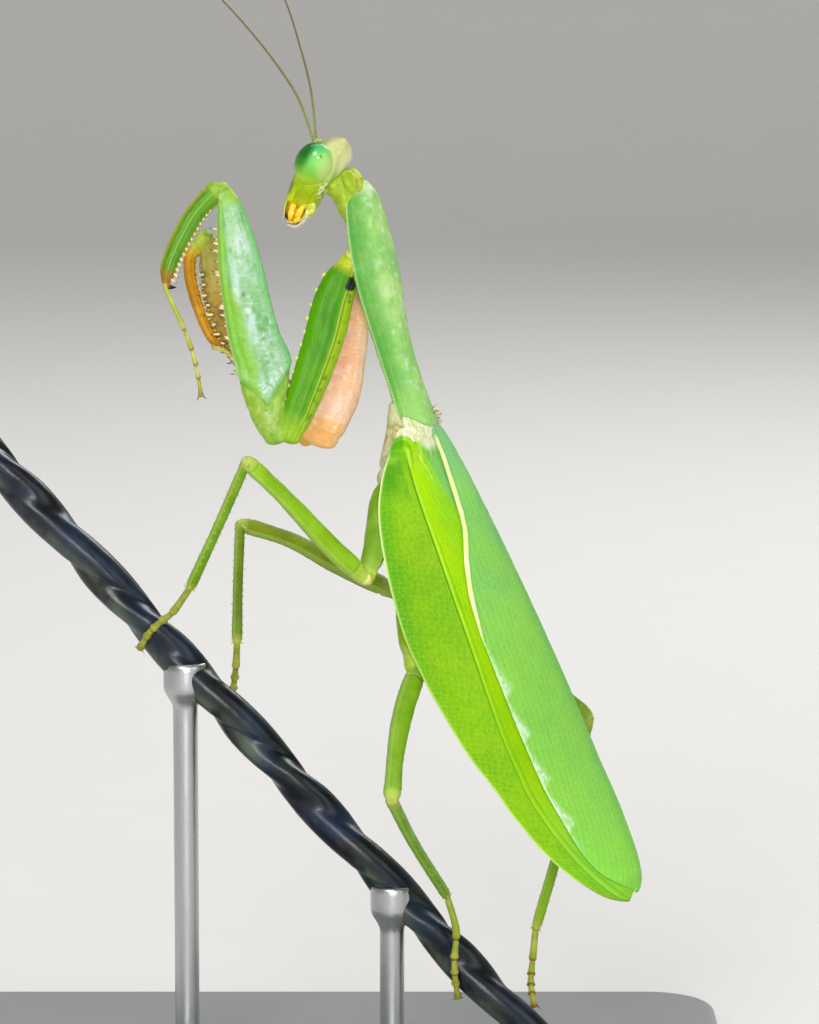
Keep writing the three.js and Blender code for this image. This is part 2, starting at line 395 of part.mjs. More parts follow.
// in-plane direction of each fore leg, from the femur toward the tibia side
const planeUp = (a, b, c) => { // part of (c - a) square to (b - a)
  const x = V3(b).sub(V3(a)).normalize(), y = V3(c).sub(V3(a));
  return y.addScaledVector(x, -y.dot(x)).normalize();
};
const forePairs = [['L', 'left'], ['R', 'right']];
for (const [k, nm] of forePairs) {
  const C = J[`fore${k}_coxa`], F = J[`fore${k}_femur`], T = J[`fore${k}_tibia`], Z = J[`fore${k}_tarsus`];
  const mid = T[3];
  const up = planeUp(F[0], F[F.length - 1], mid);        // toward the tibia
  const coxaSpec = { pts: C, up, sides: 8, keys: [[0, 1.0, 1.15], [0.14, 1.25, 1.75], [0.34, 1.3, 2.0], [0.55, 1.25, 1.92], [0.75, 1.15, k === 'R' ? 1.88 : 1.72], [0.9, 1.0, k === 'R' ? 1.6 : 1.35], [1, 0.8, k === 'R' ? 1.15 : 0.95]] };
  const femurSpec = { pts: F, up, sides: 10, keys: [[0, 0.7, 0.7], [0.05, 0.85, 1.1], [0.14, 0.95, 1.7], [0.28, 1.05, 2.3], [0.42, 1.1, 2.55], [0.58, 1.1, 2.45], [0.74, 1.05, 2.15], [0.87, 1.0, 1.65], [0.96, 0.95, 1.2], [1, 0.6, 0.75]] };
  const tibiaSpec = { pts: T, up, sides: 8, keys: [[0, 0.6, 0.65], [0.15, 0.62, 0.85], [0.4, 0.65, 0.92], [0.7, 0.6, 0.82], [0.92, 0.55, 0.68], [1, 0.4, 0.45]] };
  const coxaG = solid(limb(coxaSpec, GAP));
  const femurG = solid(limb(femurSpec, GAP));
  const tibiaG = solid(limb(tibiaSpec, GAP));
  // coxa with a row of blunt tubercles along its fore edge
  const coxa = join(solid(limb(coxaSpec)), ...spines(coxaSpec, { from: 0.16, to: 0.86, n: 10, side: 1, lat: 0, len: 0.28, lean: 0.1, r: 0.32 }));
  node(`foreleg_${nm}_coxa`, cut(coxa, prothG), 'leaf');
  let femur = join(solid(limb(femurSpec)),
    ...spines(femurSpec, { from: 0.34, to: 0.86, n: 11, side: 1, lat: k === 'L' ? -1 : 1, len: 0.95, lean: 0.25, r: 0.2, vary: 0.6 }),
    ...spines(femurSpec, { from: 0.42, to: 0.8, n: 4, side: 1, lat: k === 'L' ? 1 : -1, len: 1.3, lean: 0.3, r: 0.26 }));
  const tibBody = solid(limb(tibiaSpec));
  // the claw at the tibia's end curves back toward the femur
  const e = V3(T[T.length - 1]), prev = V3(T[T.length - 2]);
  const d = e.clone().sub(prev).normalize();
  const claw = limb({ pts: [e.clone().addScaledVector(d, -0.5), e.clone().addScaledVector(d, 0.35).addScaledVector(up, -0.35), e.clone().addScaledVector(d, 0.75).addScaledVector(up, -1.25)], up: OUT, sides: 6, keys: [[0, 0.4, 0.4], [0.5, 0.36, 0.36], [1, 0.12, 0.12]] });
  let tibia = join(tibBody, solid(claw), ...spines(tibiaSpec, { from: 0.28, to: 0.93, n: 9, side: -1, lat: 0, len: 0.6, lean: 0.35, r: 0.19 }));
  femur = cut(femur, coxaG);
  tibia = cut(tibia, femurG);
  node(`foreleg_${nm}_femur`, cut(femur, tibiaG), 'blue', 0.3);
  node(`foreleg_${nm}_tibia`, cut(tibia, femur), k === 'R' ? 'orange' : 'leaf');
  const tarsus = limb({ pts: Z, up: OUT, sides: 6, keys: [[0, 0.3, 0.3], [0.25, 0.32, 0.32], [0.5, 0.3, 0.3], [0.75, 0.3, 0.3], [1, 0.27, 0.27]] });
  node(`foreleg_${nm}_tarsus`, cut(solid(tarsus), solid(limb({ ...tibiaSpec }, GAP)), solid(limb({ pts: [e.clone().addScaledVector(d, -0.5), e.clone().addScaledVector(d, 0.35).addScaledVector(up, -0.35), e.clone().addScaledVector(d, 0.75).addScaledVector(up, -1.25)], up: OUT, sides: 6, keys: [[0, 0.4, 0.4], [0.5, 0.36, 0.36], [1, 0.12, 0.12]] }, GAP))), 'leaf');
}
const legSizes = {
  mid: { coxa: [[0, 1.25, 1.25], [0.4, 1.35, 1.35], [0.8, 1.15, 1.15], [1, 0.85, 0.85]], femur: [[0, 0.8, 0.8], [0.1, 1.0, 1.0], [0.45, 0.92, 0.92], [0.8, 0.76, 0.76], [0.95, 0.8, 0.8], [1, 0.6, 0.6]], tibia: [[0, 0.5, 0.5], [0.12, 0.46, 0.46], [0.6, 0.45, 0.45], [0.95, 0.5, 0.5], [1, 0.4, 0.4]] },
  hind: { coxa: [[0, 1.3, 1.3], [0.4, 1.35, 1.35], [0.8, 1.15, 1.15], [1, 0.85, 0.85]], femur: [[0, 0.8, 0.8], [0.1, 1.05, 1.05], [0.4, 1.0, 1.0], [0.8, 0.8, 0.8], [0.95, 0.88, 0.88], [1, 0.65, 0.65]], tibia: [[0, 0.55, 0.55], [0.12, 0.52, 0.52], [0.6, 0.47, 0.47], [0.95, 0.5, 0.5], [1, 0.4, 0.4]] },
};
for (const pair of ['mid', 'hind']) for (const [k, nm] of forePairs) {
  const size = legSizes[pair];
  const C = J[`${pair}${k}_coxa`], F = J[`${pair}${k}_femur`], T = J[`${pair}${k}_tibia`], Z = J[`${pair}${k}_tarsus`];
  const coxa = { pts: C, up: OUT, sides: 8, keys: size.coxa }, femur = { pts: F, up: DORSAL, sides: 8, keys: size.femur };
  const tibia = { pts: T, up: DORSAL, sides: 6, keys: size.tibia };
  const tarsus = { pts: Z, up: OUT, sides: 6, keys: [[0, TARSUS_R, TARSUS_R], [0.3, 0.34, 0.34], [0.6, 0.34, 0.34], [0.9, 0.38, 0.38], [1, 0.3, 0.3]] };
  const cG = solid(limb(coxa, GAP)), fG = solid(limb(femur, GAP)), tG = solid(limb(tibia, GAP));
  node(`${pair}leg_${nm}_coxa`, cut(solid(limb(coxa)), thoraxG, wingG.left, wingG.right, abdomenG), 'leaf');
  node(`${pair}leg_${nm}_femur`, cut(solid(limb(femur)), cG), 'leaf');
  node(`${pair}leg_${nm}_tibia`, cut(solid(limb(tibia)), fG), 'leaf');
  node(`${pair}leg_${nm}_tarsus`, cut(solid(limb(tarsus)), tG, wireG), 'leaf');
}

// ------------------------------------------------------------ stand
{
  const { lx, ly, h, r } = BASE, sh = new THREE.Shape();
  const x = lx / 2 - r, y = ly / 2 - r;
  sh.moveTo(-x, -ly / 2); sh.lineTo(x, -ly / 2); sh.absarc(x, -y, r, -Math.PI / 2, 0, false);
  sh.lineTo(lx / 2, y); sh.absarc(x, y, r, 0, Math.PI / 2, false);
  sh.lineTo(-x, ly / 2); sh.absarc(-x, y, r, Math.PI / 2, Math.PI, false);
  sh.lineTo(-lx / 2, -y); sh.absarc(-x, -y, r, Math.PI, 1.5 * Math.PI, false);
  const bevel = 0.5;
  const g = new THREE.ExtrudeGeometry(sh, { depth: h - 2 * bevel, bevelEnabled: true, bevelThickness: bevel, bevelSize: bevel, bevelOffset: -bevel, bevelSegments: 1, curveSegments: 4 });
  g.translate(0, 0, bevel);
  node('stand_base', solid(g), 'stand', 0.5);
  J.rods.forEach((p, i) => {
    const top = p[2] + 0.2;   // runs into the groove cut for the wire
    const z0 = h + 0.1, rr = ROD.r;
    const prof = [[0, z0], [ROD.foot, z0], [ROD.foot, z0 + 0.7], [rr + 0.5, z0 + ROD.footH], [rr, z0 + ROD.footH + 1], [rr, top - 4.6], [ROD.cup, top - 3], [ROD.cup, top], [0, top]].map((q) => new THREE.Vector2(q[0], q[1]));
    const rod = new THREE.LatheGeometry(prof, 12);
    rod.rotateX(Math.PI / 2);
    rod.translate(p[0], p[1], 0);
    node(`stand_rod_${i + 1}`, cut(solid(rod), wireG), 'stand', 0.4, 0.8);
  });
}

export default mantis;
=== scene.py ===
# Looks of a life-size female praying mantis that grips a cut length of twisted
# wire on a plain display stand. Millimetres below, metres in Blender.
# Frame: +Z up, origin at the centre of the underside of the base.
import math

import bpy
import numpy as np
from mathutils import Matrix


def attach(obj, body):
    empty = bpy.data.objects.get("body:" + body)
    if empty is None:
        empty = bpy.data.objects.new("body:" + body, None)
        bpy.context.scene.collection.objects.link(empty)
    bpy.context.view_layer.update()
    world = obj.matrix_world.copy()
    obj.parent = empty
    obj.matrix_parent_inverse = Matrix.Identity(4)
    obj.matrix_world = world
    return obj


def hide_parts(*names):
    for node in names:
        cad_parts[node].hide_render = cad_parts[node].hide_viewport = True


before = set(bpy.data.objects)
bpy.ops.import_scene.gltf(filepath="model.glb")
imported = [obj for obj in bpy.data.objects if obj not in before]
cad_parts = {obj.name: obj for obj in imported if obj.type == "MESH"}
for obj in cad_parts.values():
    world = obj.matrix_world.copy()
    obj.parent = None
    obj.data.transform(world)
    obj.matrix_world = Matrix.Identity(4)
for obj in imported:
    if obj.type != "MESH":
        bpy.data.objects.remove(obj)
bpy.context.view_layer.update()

# ------------------------------------------------------------------ maths
def V(*a):
    return np.array(a, float)


def unit(a):
    a = np.asarray(a, float)
    return a / np.maximum(np.linalg.norm(a, axis=-1, keepdims=True), 1e-12)


def lin(h):
    """A colour written as in sRGB, turned linear."""
    c = [int(h[i:i + 2], 16) / 255 for i in (1, 3, 5)]
    return np.array([x / 12.92 if x <= .04045 else ((x + .055) / 1.055) ** 2.4 for x in c])


def sstep(a, b, x):
    t = np.clip((np.asarray(x, float) - a) / (b - a), 0, 1)
    return t * t * (3 - 2 * t)


def bell(x, w):
    return np.exp(-(np.asarray(x, float) / w) ** 2)


def mixc(a, b, f):
    f = np.clip(np.asarray(f, float), 0, 1)[..., None]
    return np.asarray(a) * (1 - f) + np.asarray(b) * f


def _hash(x, y, z, seed):
    h = (x * 374761393 + y * 668265263 + z * 1442695041 + seed * 1274126177) & 0xFFFFFFFF
    h = ((h ^ (h >> 13)) * 1274126177) & 0xFFFFFFFF
    h = ((h ^ (h >> 15)) * 2246822519) & 0xFFFFFFFF
    return ((h ^ (h >> 16)) & 0xFFFFF) / 1048575.0


def vnoise(P, seed=0):
    """Smooth lattice noise, -1 to 1, at points P."""
    P = np.asarray(P, float)
    i = np.floor(P).astype(np.int64)
    f = P - i
    f = f * f * f * (f * (f * 6 - 15) + 10)
    out = 0
    for dx in (0, 1):
        wx = f[..., 0] if dx else 1 - f[..., 0]
        for dy in (0, 1):
            wy = f[..., 1] if dy else 1 - f[..., 1]
            for dz in (0, 1):
                wz = f[..., 2] if dz else 1 - f[..., 2]
                out = out + wx * wy * wz * _hash(i[..., 0] + dx, i[..., 1] + dy, i[..., 2] + dz, seed)
    return out * 2 - 1


def fbm(P, seed=0, octaves=4, gain=.5):
    P = np.asarray(P, float)
    s, a, n = 0, 1.0, 0
    for k in range(octaves):
        s = s + a * vnoise(P * 2.03 ** k + 17.3 * k, seed + k)
        n += a
        a *= gain
    return s / n


def cells(x, y, seed=0):
    """Nearest and second nearest distance to a jittered net of points."""
    ix, iy = np.floor(x).astype(np.int64), np.floor(y).astype(np.int64)
    f1 = np.full(np.shape(x), 9.0)
    f2 = np.full(np.shape(x), 9.0)
    for dx in (-1, 0, 1):
        for dy in (-1, 0, 1):
            cx, cy = ix + dx, iy + dy
            px = cx + .12 + .76 * _hash(cx, cy, cx * 0, seed)
            py = cy + .12 + .76 * _hash(cx, cy, cx * 0 + 5, seed + 3)
            d = np.hypot(px - x, py - y)
            f2 = np.where(d < f1, f1, np.minimum(f2, d))
            f1 = np.minimum(f1, d)
    return f1, f2


def smooth_keys(keys, t):
    """Monotone cubic through rows [t, a, b, ...]; returns a, b, ... stacked last."""
    K = np.array(keys, float)
    x, Y = K[:, 0], K[:, 1:]
    t = np.asarray(t, float)
    h = np.diff(x)
    d = np.diff(Y, axis=0) / h[:, None]
    m = np.zeros_like(Y)
    m[0], m[-1] = d[0], d[-1]
    if len(x) > 2:
        w1, w2 = (2 * h[1:] + h[:-1])[:, None], (h[1:] + 2 * h[:-1])[:, None]
        same = d[:-1] * d[1:] > 0
        with np.errstate(divide="ignore", invalid="ignore"):
            hm = (w1 + w2) / (w1 / d[:-1] + w2 / d[1:])
        m[1:-1] = np.where(same, hm, 0)
    i = np.clip(np.searchsorted(x, t, side="right") - 1, 0, len(x) - 2)
    f = np.clip((t - x[i]) / h[i], 0, 1)[..., None]
    hh = h[i][..., None]
    f2, f3 = f * f, f * f * f
    return (2 * f3 - 3 * f2 + 1) * Y[i] + (f3 - 2 * f2 + f) * hh * m[i] + (3 * f2 - 2 * f3) * Y[i + 1] + (f3 - f2) * hh * m[i + 1]


class Path:
    """Centripetal Catmull-Rom line through points, by share of its length."""

    def __init__(self, P):
        P = np.array(P, float)
        E = np.vstack([2 * P[0] - P[1], P, 2 * P[-1] - P[-2]])
        out = []
        for i in range(len(P) - 1):
            p0, p1, p2, p3 = E[i:i + 4]
            k0, k1, k2 = [max(np.linalg.norm(b - a), 1e-6) ** .5 for a, b in ((p0, p1), (p1, p2), (p2, p3))]
            m1 = ((p1 - p0) / k0 - (p2 - p0) / (k0 + k1) + (p2 - p1) / k1) * k1
            m2 = ((p2 - p1) / k1 - (p3 - p1) / (k1 + k2) + (p3 - p2) / k2) * k1
            t = np.linspace(0, 1, 80, endpoint=False)[:, None]
            out.append((2 * t ** 3 - 3 * t ** 2 + 1) * p1 + (t ** 3 - 2 * t ** 2 + t) * m1 + (3 * t ** 2 - 2 * t ** 3) * p2 + (t ** 3 - t ** 2) * m2)
        out.append(P[-1:])
        self.p = np.vstack(out)
        d = np.r_[0, np.cumsum(np.linalg.norm(np.diff(self.p, axis=0), axis=1))]
        self.len = d[-1]
        self.u = d / d[-1]
        g = np.gradient(self.p, self.u, axis=0)
        self.g = unit(g)

    def at(self, t):
        t = np.asarray(t, float)
        c = np.clip(t, 0, 1)
        p = np.stack([np.interp(c, self.u, self.p[:, k]) for k in range(3)], -1)
        return p + self.tan(c) * ((t - c) * self.len)[..., None]

    def tan(self, t):
        c = np.clip(np.asarray(t, float), 0, 1)
        return unit(np.stack([np.interp(c, self.u, self.g[:, k]) for k in range(3)], -1))


# ------------------------------------------------------------------ mesh parts
def faces_of(n, m, wrap=True):
    i = np.arange(n - 1)[:, None]
    j = np.arange(m if wrap else m - 1)[None, :]
    a, b = i * m + j, i * m + (j + 1) % m
    return np.stack([a, b, b + m, a + m], -1).reshape(-1, 4)


def oriented(p):
    v, vol = p["v"], 0.0
    for f in ("q", "t"):
        F = p.get(f)
        if F is None or not len(F):
            continue
        vol += np.einsum("ij,ij->i", v[F[:, 0]], np.cross(v[F[:, 1]], v[F[:, 2]])).sum()
        if f == "q":
            vol += np.einsum("ij,ij->i", v[F[:, 0]], np.cross(v[F[:, 2]], v[F[:, 3]])).sum()
    if vol < 0:
        for f in ("q", "t"):
            if p.get(f) is not None and len(p[f]):
                p[f] = p[f][:, ::-1]
    return p


def paint(p, col, fx=(.4, 1, 1)):
    n = len(p["v"])
    c = col(p) if callable(col) else col
    f = fx(p) if callable(fx) else fx
    p["col"] = np.broadcast_to(np.asarray(c, float), (n, 3)).copy()
    p["fx"] = np.broadcast_to(np.asarray(f, float), (n, 3)).copy()
    return p


def loft(path, up, keys, n=80, m=36, t0=0., t1=1., cap=(.5, .5), disp=None, sect=None, k=6, ts=None):
    """A tapering body bent along a path. keys: [t, half across, half deep, offset]."""
    if not isinstance(path, Path):
        path = Path(path)
    t = np.linspace(t0, t1, n) if ts is None else np.asarray(ts, float)
    n = len(t)
    keys = [list(r) + [0] * (4 - len(r)) for r in keys]
    K = smooth_keys(keys, t)
    up = np.asarray(up, float)
    T = path.tan(t)
    D = unit(up - (T @ up)[:, None] * T)
    A = np.cross(T, D)
    C = path.at(t) + D * K[:, 2:3]
    ph = np.radians(np.linspace(90, 0, k + 1))[1:-1]
    idx = np.r_[np.zeros(len(ph), int), np.arange(n), np.full(len(ph), n - 1)]
    sc = np.r_[np.cos(ph), np.ones(n), np.cos(ph[::-1])]
    small = np.minimum(K[:, 0], K[:, 1])
    push = np.r_[-np.sin(ph) * cap[0] * small[0], np.zeros(n), np.sin(ph[::-1]) * cap[1] * small[-1]]
    th = np.linspace(0, 2 * np.pi, m, endpoint=False)
    TT = np.repeat(t[idx][:, None], m, 1)
    TH = np.repeat(th[None, :], len(idx), 0)
    a, b = np.cos(TH), np.sin(TH)
    if sect is not None:
        a, b = sect(TT, TH, a, b)
    w, h = (K[idx, 0] * sc)[:, None], (K[idx, 1] * sc)[:, None]
    Ai, Di, Ti = A[idx][:, None, :], D[idx][:, None, :], T[idx][:, None, :]
    P = C[idx][:, None, :] + Ti * push[:, None, None] + Ai * (w * a)[..., None] + Di * (h * b)[..., None]
    wf, hf = K[idx, 0][:, None], K[idx, 1][:, None]
    N = unit(Ai * (np.cos(TH) / wf)[..., None] + Di * (np.sin(TH) / hf)[..., None])
    if disp is not None:
        P = P + N * (disp(TT, TH, P, N) * sc[:, None])[..., None]
    R = len(idx)
    v = P.reshape(-1, 3)
    p0 = P[0].mean(0) - T[0] * small[0] * cap[0] * (1 - math.sin(ph[0])) if len(ph) else P[0].mean(0)
    p1 = P[-1].mean(0) + T[-1] * small[-1] * cap[1] * (1 - math.sin(ph[0])) if len(ph) else P[-1].mean(0)
    v = np.vstack([v, p0, p1])
    q = faces_of(R, m)
    j = np.arange(m)
    j2 = (j + 1) % m
    tr = np.vstack([np.stack([np.full(m, R * m), j2, j], -1), np.stack([np.full(m, R * m + 1), (R - 1) * m + j, (R - 1) * m + j2], -1)])
    return oriented({"v": v, "q": q, "t": tr, "T": np.r_[TT.ravel(), t[0], t[-1]], "TH": np.r_[TH.ravel(), 0, 0],
                     "N": np.vstack([N.reshape(-1, 3), -T[0], T[-1]])})


def blob(c, ax, r, seg=28, rows=20, disp=None):
    c, ax = np.asarray(c, float), [unit(a) for a in ax]
    la = np.linspace(0, np.pi, rows + 1)[1:-1]
    lo = np.linspace(0, 2 * np.pi, seg, endpoint=False)
    LA, LO = np.meshgrid(la, lo, indexing="ij")
    d = np.stack([np.sin(LA) * np.cos(LO), np.sin(LA) * np.sin(LO), np.cos(LA)], -1)
    d = np.vstack([d.reshape(-1, 3), [0, 0, 1], [0, 0, -1]])
    s = np.ones(len(d)) if disp is None else 1 + disp(d)
    M = np.stack([ax[0] * r[0], ax[1] * r[1], ax[2] * r[2]])
    v = c + (d * s[:, None]) @ M
    n = len(la)
    j = np.arange(seg)
    j2 = (j + 1) % seg
    tr = np.vstack([np.stack([np.full(seg, n * seg), j, j2], -1), np.stack([np.full(seg, n * seg + 1), (n - 1) * seg + j2, (n - 1) * seg + j], -1)])
    Nn = unit(d @ np.stack([ax[0] / r[0], ax[1] / r[1], ax[2] / r[2]]))
    return oriented({"v": v, "q": faces_of(n, seg), "t": tr, "T": d[:, 2], "TH": np.zeros(len(d)), "N": Nn, "d": d})


def spikes(B, D, L, R, c0, c1, sides=6, rings=5, bend=None, dark=(.55, .8), power=.75, fx=(.35, .3, .3), root=.25):
    """Many tapering spines at once: bases B, directions D, lengths L, radii R."""
    B, D = np.atleast_2d(B).astype(float), unit(np.atleast_2d(D))
    n = len(B)
    L, R = np.broadcast_to(L, n).astype(float), np.broadcast_to(R, n).astype(float)
    bend = np.zeros((n, 3)) if bend is None else np.broadcast_to(bend, (n, 3))
    ref = np.where(np.abs(D[:, 2:3]) < .8, V(0, 0, 1), V(1, 0, 0))
    X = unit(np.cross(D, ref))
    Y = np.cross(D, X)
    s = np.linspace(0, 1, rings + 1)[:-1]
    a = np.linspace(0, 2 * np.pi, sides, endpoint=False)
    cen = B[:, None] + D[:, None] * (L[:, None] * (s - root * 0) - root * L[:, None] * (s == 0))[..., None] + bend[:, None] * (s ** 2)[None, :, None]
    rad = R[:, None] * (1 - s) ** power
    ringv = cen[:, :, None] + rad[:, :, None, None] * (X[:, None, None] * np.cos(a)[None, None, :, None] + Y[:, None, None] * np.sin(a)[None, None, :, None])
    tip = B + D * L[:, None] + bend
    per = rings * sides + 2
    v = np.concatenate([ringv.reshape(n, -1, 3), tip[:, None], cen[:, :1]], 1).reshape(-1, 3)
    q1 = faces_of(rings, sides)
    j = np.arange(sides)
    j2 = (j + 1) % sides
    t1 = np.vstack([np.stack([(rings - 1) * sides + j, (rings - 1) * sides + j2, np.full(sides, rings * sides)], -1), np.stack([j2, j, np.full(sides, rings * sides + 1)], -1)])
    q = (q1[None] + (np.arange(n) * per)[:, None, None]).reshape(-1, 4)
    t = (t1[None] + (np.arange(n) * per)[:, None, None]).reshape(-1, 3)
    S = np.r_[np.repeat(s, sides), 1, 0]
    c = mixc(c0, c1, sstep(dark[0], dark[1], S))
    p = oriented({"v": v, "q": q, "t": t})
    p["col"] = np.tile(c, (n, 1))
    p["fx"] = np.broadcast_to(np.asarray(fx, float), (len(v), 3)).copy()
    return p


def slab(P, Nn, up, down):
    """A thin closed sheet from a grid of points, raised by up and lowered by down along Nn."""
    n, m = P.shape[:2]
    top, bot = P + Nn * up[..., None], P - Nn * down[..., None]
    v = np.vstack([top.reshape(-1, 3), bot.reshape(-1, 3)])
    q = faces_of(n, m, False)
    o = n * m
    i, j = np.arange(n - 1), np.arange(m - 1)
    rim = [np.stack([i * m, (i + 1) * m, (i + 1) * m + o, i * m + o], -1),
           np.stack([(i + 1) * m + m - 1, i * m + m - 1, i * m + m - 1 + o, (i + 1) * m + m - 1 + o], -1),
           np.stack([j + 1, j, j + o, j + 1 + o], -1),
           np.stack([(n - 1) * m + j, (n - 1) * m + j + 1, (n - 1) * m + j + 1 + o, (n - 1) * m + j + o], -1)]
    return oriented({"v": v, "q": np.vstack([q, q[:, ::-1] + o] + rim), "t": None})


def put(name, parts, mat, nodes=()):
    """Joins parts into one object in metres, with its colour and finish fields."""
    vs, qs, ts, cs, fs, o = [], [], [], [], [], 0
    for p in parts:
        vs.append(p["v"])
        if p.get("q") is not None and len(p["q"]):
            qs.append(p["q"] + o)
        if p.get("t") is not None and len(p["t"]):
            ts.append(p["t"] + o)
        cs.append(p["col"])
        fs.append(p["fx"])
        o += len(p["v"])
    v, c, f = np.vstack(vs), np.vstack(cs), np.vstack(fs)
    q = np.vstack(qs) if qs else np.zeros((0, 4), int)
    t = np.vstack(ts) if ts else np.zeros((0, 3), int)
    me = bpy.data.meshes.new(name)
    me.vertices.add(len(v))
    me.vertices.foreach_set("co", (v * .001).astype(np.float32).ravel())
    loops = np.r_[q.ravel(), t.ravel()].astype(np.int32)
    me.loops.add(len(loops))
    me.loops.foreach_set("vertex_index", loops)
    starts = np.r_[np.arange(len(q)) * 4, len(q) * 4 + np.arange(len(t)) * 3].astype(np.int32)
    me.polygons.add(len(starts))
    me.polygons.foreach_set("loop_start", starts)
    me.update(calc_edges=True)
    me.polygons.foreach_set("use_smooth", np.ones(len(starts), bool))
    for nm, val in (("Col", c), ("Fx", f)):
        at = me.color_attributes.new(nm, "FLOAT_COLOR", "POINT")
        at.data.foreach_set("color", np.hstack([np.clip(val, 0, 4), np.ones((len(val), 1))]).astype(np.float32).ravel())
    me.validate()
    ob = bpy.data.objects.new(name, me)
    bpy.context.scene.collection.objects.link(ob)
    me.materials.append(mat)
    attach(ob, "root")
    if nodes:
        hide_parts(*nodes)
    return ob

# ------------------------------------------------------------------ finishes
def surface(name, rough=.38, coat=0., coat_rough=.12, sss=0., sss_mm=.6, spec=.5, mottle=(1.2, .18), fine=(9., .08), hue=.012,
            bumps=(("noise", 14., .02),), metallic=0., grain=None, sheen=0., ior=1.5):
    """Node finish: painted field colour broken up by two noises, and a bump stack.
    Scales are in features per millimetre; bump depths are in millimetres."""
    m = bpy.data.materials.new(name)
    m.use_nodes = True
    nt = m.node_tree
    nt.nodes.clear()
    N, L = nt.nodes.new, nt.links.new
    out, bs = N("ShaderNodeOutputMaterial"), N("ShaderNodeBsdfPrincipled")
    L(bs.outputs[0], out.inputs[0])
    tc = N("ShaderNodeTexCoord")
    co = tc.outputs["Object"]
    if grain is not None:
        mp = N("ShaderNodeMapping")
        mp.inputs["Scale"].default_value = grain
        L(co, mp.inputs["Vector"])
        co = mp.outputs["Vector"]
    col, fx = N("ShaderNodeAttribute"), N("ShaderNodeAttribute")
    col.attribute_name, fx.attribute_name = "Col", "Fx"
    sep = N("ShaderNodeSeparateColor")
    L(fx.outputs["Color"], sep.inputs[0])

    def noise(scale, detail=4., rough_=.55, dist=0.):
        n = N("ShaderNodeTexNoise")
        n.inputs["Scale"].default_value = scale * 1000
        n.inputs["Detail"].default_value = detail
        n.inputs["Roughness"].default_value = rough_
        n.inputs["Distortion"].default_value = dist
        L(co, n.inputs["Vector"])
        return n.outputs["Fac"]

    def math_(op, a, b=None, c=None):
        n = N("ShaderNodeMath")
        n.operation = op
        for i, x in enumerate((a, b, c)):
            if x is None:
                continue
            if isinstance(x, (int, float)):
                n.inputs[i].default_value = x
            else:
                L(x, n.inputs[i])
        return n.outputs[0]

    big = noise(mottle[0], 5.)
    small = noise(fine[0], 3.)
    v = math_("MULTIPLY_ADD", math_("SUBTRACT", big, .5), mottle[1] * 2, 1.)
    v2 = math_("MULTIPLY_ADD", math_("SUBTRACT", small, .5), fine[1] * 2, 0.)
    val = math_("MULTIPLY_ADD", math_("SUBTRACT", math_("ADD", v, v2), 1.), sep.outputs[1], 1.)
    hs = N("ShaderNodeHueSaturation")
    L(col.outputs["Color"], hs.inputs["Color"])
    L(val, hs.inputs["Value"])
    hn = noise(mottle[0] * .6, 2.)
    L(math_("MULTIPLY_ADD", math_("SUBTRACT", hn, .5), hue * 2, .5), hs.inputs["Hue"])
    L(hs.outputs[0], bs.inputs["Base Color"])
    L(math_("MULTIPLY_ADD", math_("SUBTRACT", small, .5), .16, sep.outputs[0]), bs.inputs["Roughness"])
    bs.inputs["Metallic"].default_value = metallic
    bs.inputs["IOR"].default_value = ior
    bs.inputs["Specular IOR Level"].default_value = spec
    bs.inputs["Coat Weight"].default_value = coat
    bs.inputs["Coat Roughness"].default_value = coat_rough
    bs.inputs["Sheen Weight"].default_value = sheen
    if sss:
        bs.inputs["Subsurface Weight"].default_value = sss
        bs.inputs["Subsurface Radius"].default_value = (1., 1., .5)
        bs.inputs["Subsurface Scale"].default_value = sss_mm * .001
    h = None
    for kind, scale, depth in bumps:
        if kind == "noise":
            o = noise(scale, 4.)
        elif kind == "crease":
            o = math_("ABSOLUTE", math_("SUBTRACT", noise(scale, 3., .5, .6), .5))
        else:
            vn = N("ShaderNodeTexVoronoi")
            vn.inputs["Scale"].default_value = scale * 1000
            vn.feature = "DISTANCE_TO_EDGE" if kind == "net" else "F1"
            L(co, vn.inputs["Vector"])
            o = vn.outputs["Distance"]
            if kind == "net":
                o = math_("MINIMUM", o, .16)
            if kind == "facet":
                o = math_("MULTIPLY", math_("MULTIPLY", o, o), -1.)
        o = math_("MULTIPLY", o, depth)
        h = o if h is None else math_("ADD", h, o)
    if h is not None:
        bp = N("ShaderNodeBump")
        bp.inputs["Strength"].default_value = 1.
        bp.inputs["Distance"].default_value = .001
        L(math_("MULTIPLY", h, sep.outputs[2]), bp.inputs["Height"])
        L(bp.outputs[0], bs.inputs["Normal"])
        if coat and coat < .5:
            L(bp.outputs[0], bs.inputs["Coat Normal"])
    return m


